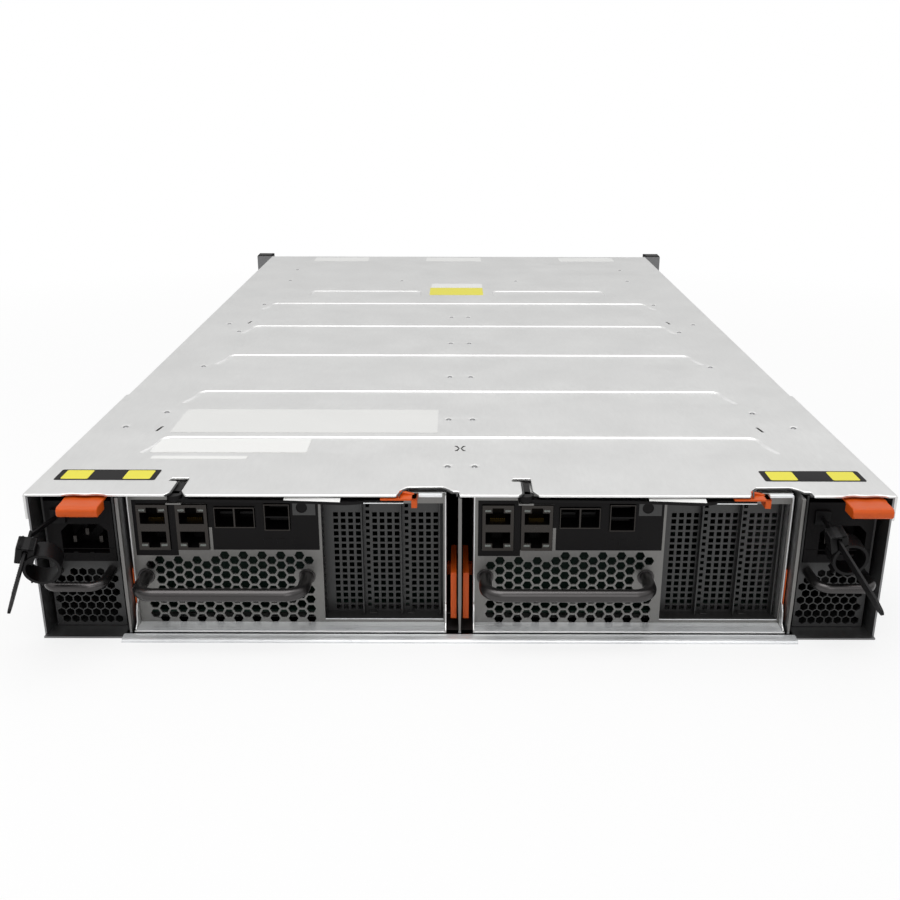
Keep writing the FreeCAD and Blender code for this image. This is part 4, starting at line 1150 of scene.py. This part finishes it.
class ARRAY_OT_straps(bpy.types.Operator):
    """Nylon cord straps with their teeth, and the clamps that slide on them"""
    bl_idname = "array.straps"
    bl_label = "Cord straps"

    def execute(self, context):
        for side in SIDES:
            root, knee, tip, run, across = strap_frame(side)
            body = "power_" + side
            bm = new_shape()
            block(bm, (root.x - 4, root.y - 2.0, root.z - 4), (root.x + 4, root.y, root.z + 4), 0.5)
            finish_piece(bm, side + "_strap_foot", body, "black_nylon")
            bm = new_shape()
            lead = knee - root
            t = strap_half_t
            block(bm, (0, -1.4, -t), (lead.length, 1.4, t), 0.2)
            bmesh.ops.transform(bm, matrix=lying(root, lead.normalized(), across),
                                verts=bm.verts[:])
            known = set(bm.verts)
            self.run(bm, (tip - knee).length)
            bmesh.ops.transform(bm, matrix=lying(knee, run, across),
                                verts=[v for v in bm.verts if v not in known])
            finish_piece(bm, side + "_strap", body, "black_nylon",
                         (f"power_{side}_strap",))
            self.clamp(side, knee + run * clamp_at, run, across)
        return {"FINISHED"}

    def run(self, bm, length):
        """The toothed run of a strap, with a tapered tip."""
        w, t = strap_half_w, strap_half_t
        side = [(0, -w), (length - 7.0, -w), (length - 1.0, -1.6), (length, -0.6)]
        outline = side + [(x, -y) for x, y in reversed(side)]
        prism(bm, [(x, y, -t) for x, y in outline], (0, 0, 2 * t), 0.2)
        for k in range(int((length - 26.0) / tooth_step)):
            x = 16.0 + k * tooth_step
            prism(bm, [(x, -1.6, 0.6), (x, -1.6, 1.05), (x + 1.3, -1.6, 0.6)], (0, 3.2, 0))
        disc(bm, (0, -w, 0), (0, 1, 0), t, 2 * w, 12)

    def clamp(self, side, centre, run, across):
        """A box around the strap and the ring that holds a cord."""
        bm = new_shape()
        for z in (-4.5, 0.95):
            block(bm, (-5, -5, z), (5, 5, z + 3.55), 0.5, 3)
        for y in (-5.0, 3.35):
            block(bm, (-5, y, -4.2), (5, y + 1.65, 4.2), 0.5, 3)
        block(bm, (-8.4, -2.6, 2.2), (-4.0, 2.6, 3.4), 0.4)
        bmesh.ops.transform(bm, matrix=lying(centre, run, across), verts=bm.verts[:])
        offset = Vector((7.0, 0, -9.2))
        hub = centre + offset - run * offset.dot(run)
        place = Matrix.Translation(hub) @ run.to_track_quat("Z", "Y").to_matrix().to_4x4()
        near = place @ Matrix.Translation((0, 0, -ring_len / 2))
        edges = []
        for radius in (9.2, 7.7):
            ring = bmesh.ops.create_circle(bm, cap_ends=False, segments=40, radius=radius,
                                           matrix=near)["verts"]
            edges += list(edges_of(ring))
        thicken(bm, bmesh.ops.bridge_loops(bm, edges=edges)["faces"], run * ring_len)
        for angle in (235, 263, 291):
            spoke = (place @ Matrix.Rotation(math.radians(angle), 4, "Z")
                     @ Matrix.Translation((10.2, 0, 0)) @ Matrix.Diagonal((3.2, 1.0, 7.0, 1)))
            verts = bmesh.ops.create_cube(bm, size=1.0, matrix=spoke)["verts"]
            soften(bm, edges_of(verts), 0.3)
        finish_piece(bm, side + "_cord_clamp", f"power_{side}_clamp", "black_nylon",
                     (f"power_{side}_clamp",))


# Drives

def drive_front(bm, lo, hi, front):
    """Bezel of a drive carrier with its vents."""
    window(bm, lo.x + 0.2, hi.x - 0.2, front, lo.z, hi.z)
    for j in range(3):
        for x in (-5.6, -1.9, 1.9, 5.6):
            hole(bm, (lo.x + hi.x) / 2 + x, front, hi.z - 5.0 - 3.6 * j, 2.6, 6, 30)
    fill_plate(bm, (0, -1.4, 0))
    for x0, x1, z0, z1 in open_box(lo, hi, 1.0, 1.4):
        block(bm, (x0, front - bezel_len, z0), (x1, front - 0.2, z1), 0.3)


def drive_carrier(bm, lo, hi, front):
    """Floor, side rails and cross pieces of a carrier, behind its bezel."""
    back, end, roof = front - carrier_len, front - 10.5, hi.z - 3.3
    block(bm, (lo.x, back, lo.z), (hi.x, front - 11.0, lo.z + 2.5), 0.3)
    for x in (lo.x, hi.x - rail_t):
        block(bm, (x, back, lo.z + 0.1), (x + rail_t, end, lo.z + 17.0), 0.3)
        block(bm, (x, lo.y + 70.0, hi.z - 13.0), (x + rail_t, end, roof), 0.3)
    for y0, y1 in ((lo.y + disk_len + 1.0, lo.y + 110.0), (front - 34.0, end)):
        block(bm, (lo.x + 0.1, y0, lo.z + 0.1), (hi.x - 0.1, y1, roof - 0.1), 0.6)


class ARRAY_OT_drives(bpy.types.Operator):
    """The row of small drives: disks, carriers, levers and light guides"""
    bl_idname = "array.drives"
    bl_label = "Drives"

    def execute(self, context):
        for node in drive_names:
            lo, hi = low(node), high(node)
            mid, front, foot = (lo.x + hi.x) / 2, hi.y - 4.0, lo.z + 5.5
            bm = new_shape()
            drive_front(bm, lo, hi, front)
            drive_carrier(bm, lo, hi, front)
            lever = [(0.0, 0.0), (2.6, 1.0), (4.0, 4.0), (4.0, 36.0), (2.8, 44.0), (0.0, 52.0)]
            prism(bm, [(mid - 4.5, front + y, foot + z) for y, z in lever], (9.0, 0, 0), 0.6, 3)
            for k in range(4):
                z = foot + 8.0 + 2.2 * k
                block(bm, (mid - 3.4, front + 3.6, z), (mid + 3.4, front + 3.98, z + 0.9))
            finish_piece(bm, node + "_carrier", node, "carrier_plastic", (node,))
            bm = new_shape()
            block(bm, (mid - 7.4, lo.y, lo.z + 2.8), (mid + 7.4, lo.y + disk_len, hi.z - 3.3), 0.5)
            finish_piece(bm, node + "_disk", node, "grille_steel_painted_shade")
            bm = new_shape()
            for x in (mid - 3.0, mid + 3.0):
                block(bm, (x - 1.0, front - 0.3, foot + 54.0), (x + 1.0, front + 0.25, foot + 55.6),
                      0.2)
            finish_piece(bm, node + "_lights", node, "light_guide")
        return {"FINISHED"}


# Labels

def label(name, x0, x1, y0, y1, material, lift=1.0, sunk=0.0):
    """A thin bare label on the cover; sunk is the depth of the rib that it lies in."""
    bm = new_shape()
    points = corners(x0, x1, y0, y1, lid_top + 0.02 - sunk)
    face = round_face(bm, points, ((1.0, range(4)),), 3)
    thicken(bm, [face], (0, 0, size("label_t") * lift))
    finish_piece(bm, name, "chassis", material)


class ARRAY_OT_labels(bpy.types.Operator):
    """Bare labels on the cover: their places and colours only"""
    bl_idname = "array.labels"
    bl_label = "Labels"

    def execute(self, context):
        for side, x0 in (("left", -216.5), ("right", 162.6)):
            label(side + "_dark_label", x0, x0 + 54.0, 20.0, 35.0, "black_label")
            for k, x in enumerate((x0 + 3.2, x0 + 36.4)):
                label(f"{side}_yellow_patch_{k + 1}", x, x + 14.6, 21.2, 33.8, "yellow_label", 1.6)
        rib_depth = size("rib_depth")
        label("white_bar_label", -178.0, -88.0, 65.2, 88.6, "white_label", 2.0, rib_depth)
        bm = new_shape()
        mark = [(0.3, 0.2), (1.0, 0.2), (2.4, 3.2), (3.1, 3.2), (3.1, 4.2), (1.6, 4.2)]
        for sx, sy in ((-1, -1), (1, -1), (1, 1), (-1, 1)):
            prism(bm, [(datum[0] + sx * px, datum[1] + sy * py, lid_top - rib_depth + 0.02)
                       for px, py in mark], (0, 0, 0.05))
        finish_piece(bm, "datum_mark", "chassis", "black_label")
        label("pale_label", -175.0, -13.5, 97.5, 143.0, "grey_label")
        label("thin_white_label", -174.0, -120.0, 52.0, 57.0, "white_label")
        label("yellow_label", -29.0, 24.0, 514.0, 550.0, "yellow_label")
        label("yellow_label_strip", -28.0, 24.0, 551.0, 572.0, "white_label")
        for k, (x0, x1) in enumerate(((-169.0, -106.0), (-38.0, 26.0), (118.0, 182.0))):
            label(f"front_white_label_{k + 1}", x0, x1, 711.0, 736.0, "white_label")
        return {"FINISHED"}


# Stage

class ARRAY_OT_stage(bpy.types.Operator):
    """Pale floor, soft studio light and the camera at the photo's view"""
    bl_idname = "array.stage"
    bl_label = "Stage"

    def execute(self, context):
        scene = context.scene
        scene.view_settings.view_transform = "Standard"
        self.floor()
        self.world(scene)
        for name, place, width, power in (("key_light", (-0.35, -0.25, 1.5), 1.1, 11.0),
                                          ("top_light", (0.35, 0.35, 1.7), 1.4, 9.0),
                                          ("front_light", (0.2, -1.6, 0.9), 1.0, 4.5)):
            lamp = bpy.data.lights.new(name, "AREA")
            lamp.energy = power
            lamp.size = width
            holder = bpy.data.objects.new(name, lamp)
            holder.location = place
            aim = Vector((0.0, 0.25, 0.04)) - Vector(place)
            holder.rotation_euler = aim.to_track_quat("-Z", "Y").to_euler()
            scene.collection.objects.link(holder)
        data = bpy.data.cameras.new("photo_view")
        data.lens = camera_lens
        data.shift_x, data.shift_y = camera_shift
        camera = bpy.data.objects.new("photo_view", data)
        camera.location = Vector(camera_place) * MM
        camera.rotation_euler = (math.pi / 2 - camera_pitch, camera_roll, camera_yaw)
        scene.collection.objects.link(camera)
        scene.camera = camera
        return {"FINISHED"}

    def floor(self):
        """Paper: shaded near the object, plain white further out, dimmer in reflections."""
        bm = new_shape()
        bmesh.ops.create_grid(bm, x_segments=1, y_segments=1, size=20.0)
        mesh = bpy.data.meshes.new("floor")
        bm.to_mesh(mesh)
        bm.free()
        material = bpy.data.materials.new("studio_paper_white")
        material.use_nodes = True
        tree = material.node_tree
        tree.nodes.clear()
        path = add_node(tree, "LightPath")
        place = add_node(tree, "TexCoord")
        far = add_node(tree, "VectorMath", {"operation": "LENGTH"},
                       {"Vector": place.outputs["Object"]})
        share = add_node(tree, "MapRange", {"From Min": 0.3, "From Max": 1.2, "To Min": 0.78,
                                            "To Max": 1.0}, {"Value": far.outputs["Value"]})
        seen = add_node(tree, "Math", {"operation": "MULTIPLY"},
                        {0: path.outputs["Is Camera Ray"], 1: share.outputs["Result"]})
        shine = add_node(tree, "Math", {"operation": "MULTIPLY", 1: 0.45},
                         {0: path.outputs["Is Glossy Ray"]})
        both = add_node(tree, "Math", {"operation": "MAXIMUM"},
                        {0: seen.outputs[0], 1: shine.outputs[0]})
        paper = add_node(tree, "BsdfDiffuse", {"Color": linear("FAFAFA")})
        white = add_node(tree, "Emission", {"Color": (1.0, 1.0, 1.0, 1.0), "Strength": 1.0})
        mix = add_node(tree, "MixShader", {},
                       {0: both.outputs[0], 1: paper.outputs[0], 2: white.outputs[0]})
        add_node(tree, "OutputMaterial", {}, {"Surface": mix.outputs[0]})
        mesh.materials.append(material)
        floor = bpy.data.objects.new("floor", mesh)
        bpy.context.scene.collection.objects.link(floor)

    def world(self, scene):
        """White to the eye; a dimmer share lights; reflections brighten from the horizon up."""
        world = bpy.data.worlds.new("studio")
        scene.world = world
        world.use_nodes = True
        tree = world.node_tree
        tree.nodes.clear()
        path = add_node(tree, "LightPath")
        place = add_node(tree, "TexCoord")
        parts = add_node(tree, "SeparateXYZ", {}, {"Vector": place.outputs["Generated"]})
        height = add_node(tree, "MapRange", {"From Min": 0.0, "From Max": 0.56, "To Min": 0.42,
                                             "To Max": 1.005}, {"Value": parts.outputs["Z"]})
        clear = add_node(tree, "Math", {"operation": "MAXIMUM"},
                         {0: path.outputs["Is Camera Ray"], 1: path.outputs["Is Transmission Ray"]})
        plain = add_node(tree, "MapRange", {"To Min": 0.35, "To Max": 1.0},
                         {"Value": clear.outputs[0]})
        level = add_node(tree, "Mix", {}, {"Factor": path.outputs["Is Glossy Ray"],
                                           "A": plain.outputs["Result"],
                                           "B": height.outputs["Result"]})
        sky = add_node(tree, "Background", {"Color": (1.0, 1.0, 1.0, 1.0)},
                       {"Strength": level.outputs["Result"]})
        add_node(tree, "OutputWorld", {}, {"Surface": sky.outputs[0]})


class ARRAY_PT_panel(bpy.types.Panel):
    """Lists the steps that dress the array"""
    bl_idname = "ARRAY_PT_panel"
    bl_label = "Storage array"
    bl_space_type = "VIEW_3D"
    bl_region_type = "UI"
    bl_category = "Storage array"

    def draw(self, context):
        for operator in OPERATORS:
            self.layout.operator(operator.bl_idname)
        for group in (context.scene.array_colours, context.scene.array_sizes):
            for key in group.__annotations__:
                self.layout.prop(group, key)


OPERATORS = (ARRAY_OT_cover, ARRAY_OT_case, ARRAY_OT_end_caps, ARRAY_OT_canister_casings,
             ARRAY_OT_canister_faces, ARRAY_OT_ports, ARRAY_OT_handles, ARRAY_OT_levers,
             ARRAY_OT_power_cases, ARRAY_OT_power_latches, ARRAY_OT_straps, ARRAY_OT_drives,
             ARRAY_OT_labels, ARRAY_OT_stage)
CLASSES = (ArrayColours, ArraySizes) + OPERATORS + (ARRAY_PT_panel,)


def register():
    for cls in CLASSES:
        bpy.utils.register_class(cls)
    bpy.types.Scene.array_colours = PointerProperty(type=ArrayColours)
    bpy.types.Scene.array_sizes = PointerProperty(type=ArraySizes)


def unregister():
    del bpy.types.Scene.array_colours
    del bpy.types.Scene.array_sizes
    for cls in reversed(CLASSES):
        bpy.utils.unregister_class(cls)


def main():
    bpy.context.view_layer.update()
    register()
    for operator in OPERATORS:
        group, name = operator.bl_idname.split(".")
        getattr(getattr(bpy.ops, group), name)()
    bpy.context.view_layer.update()


if __name__ == "__main__":
    main()
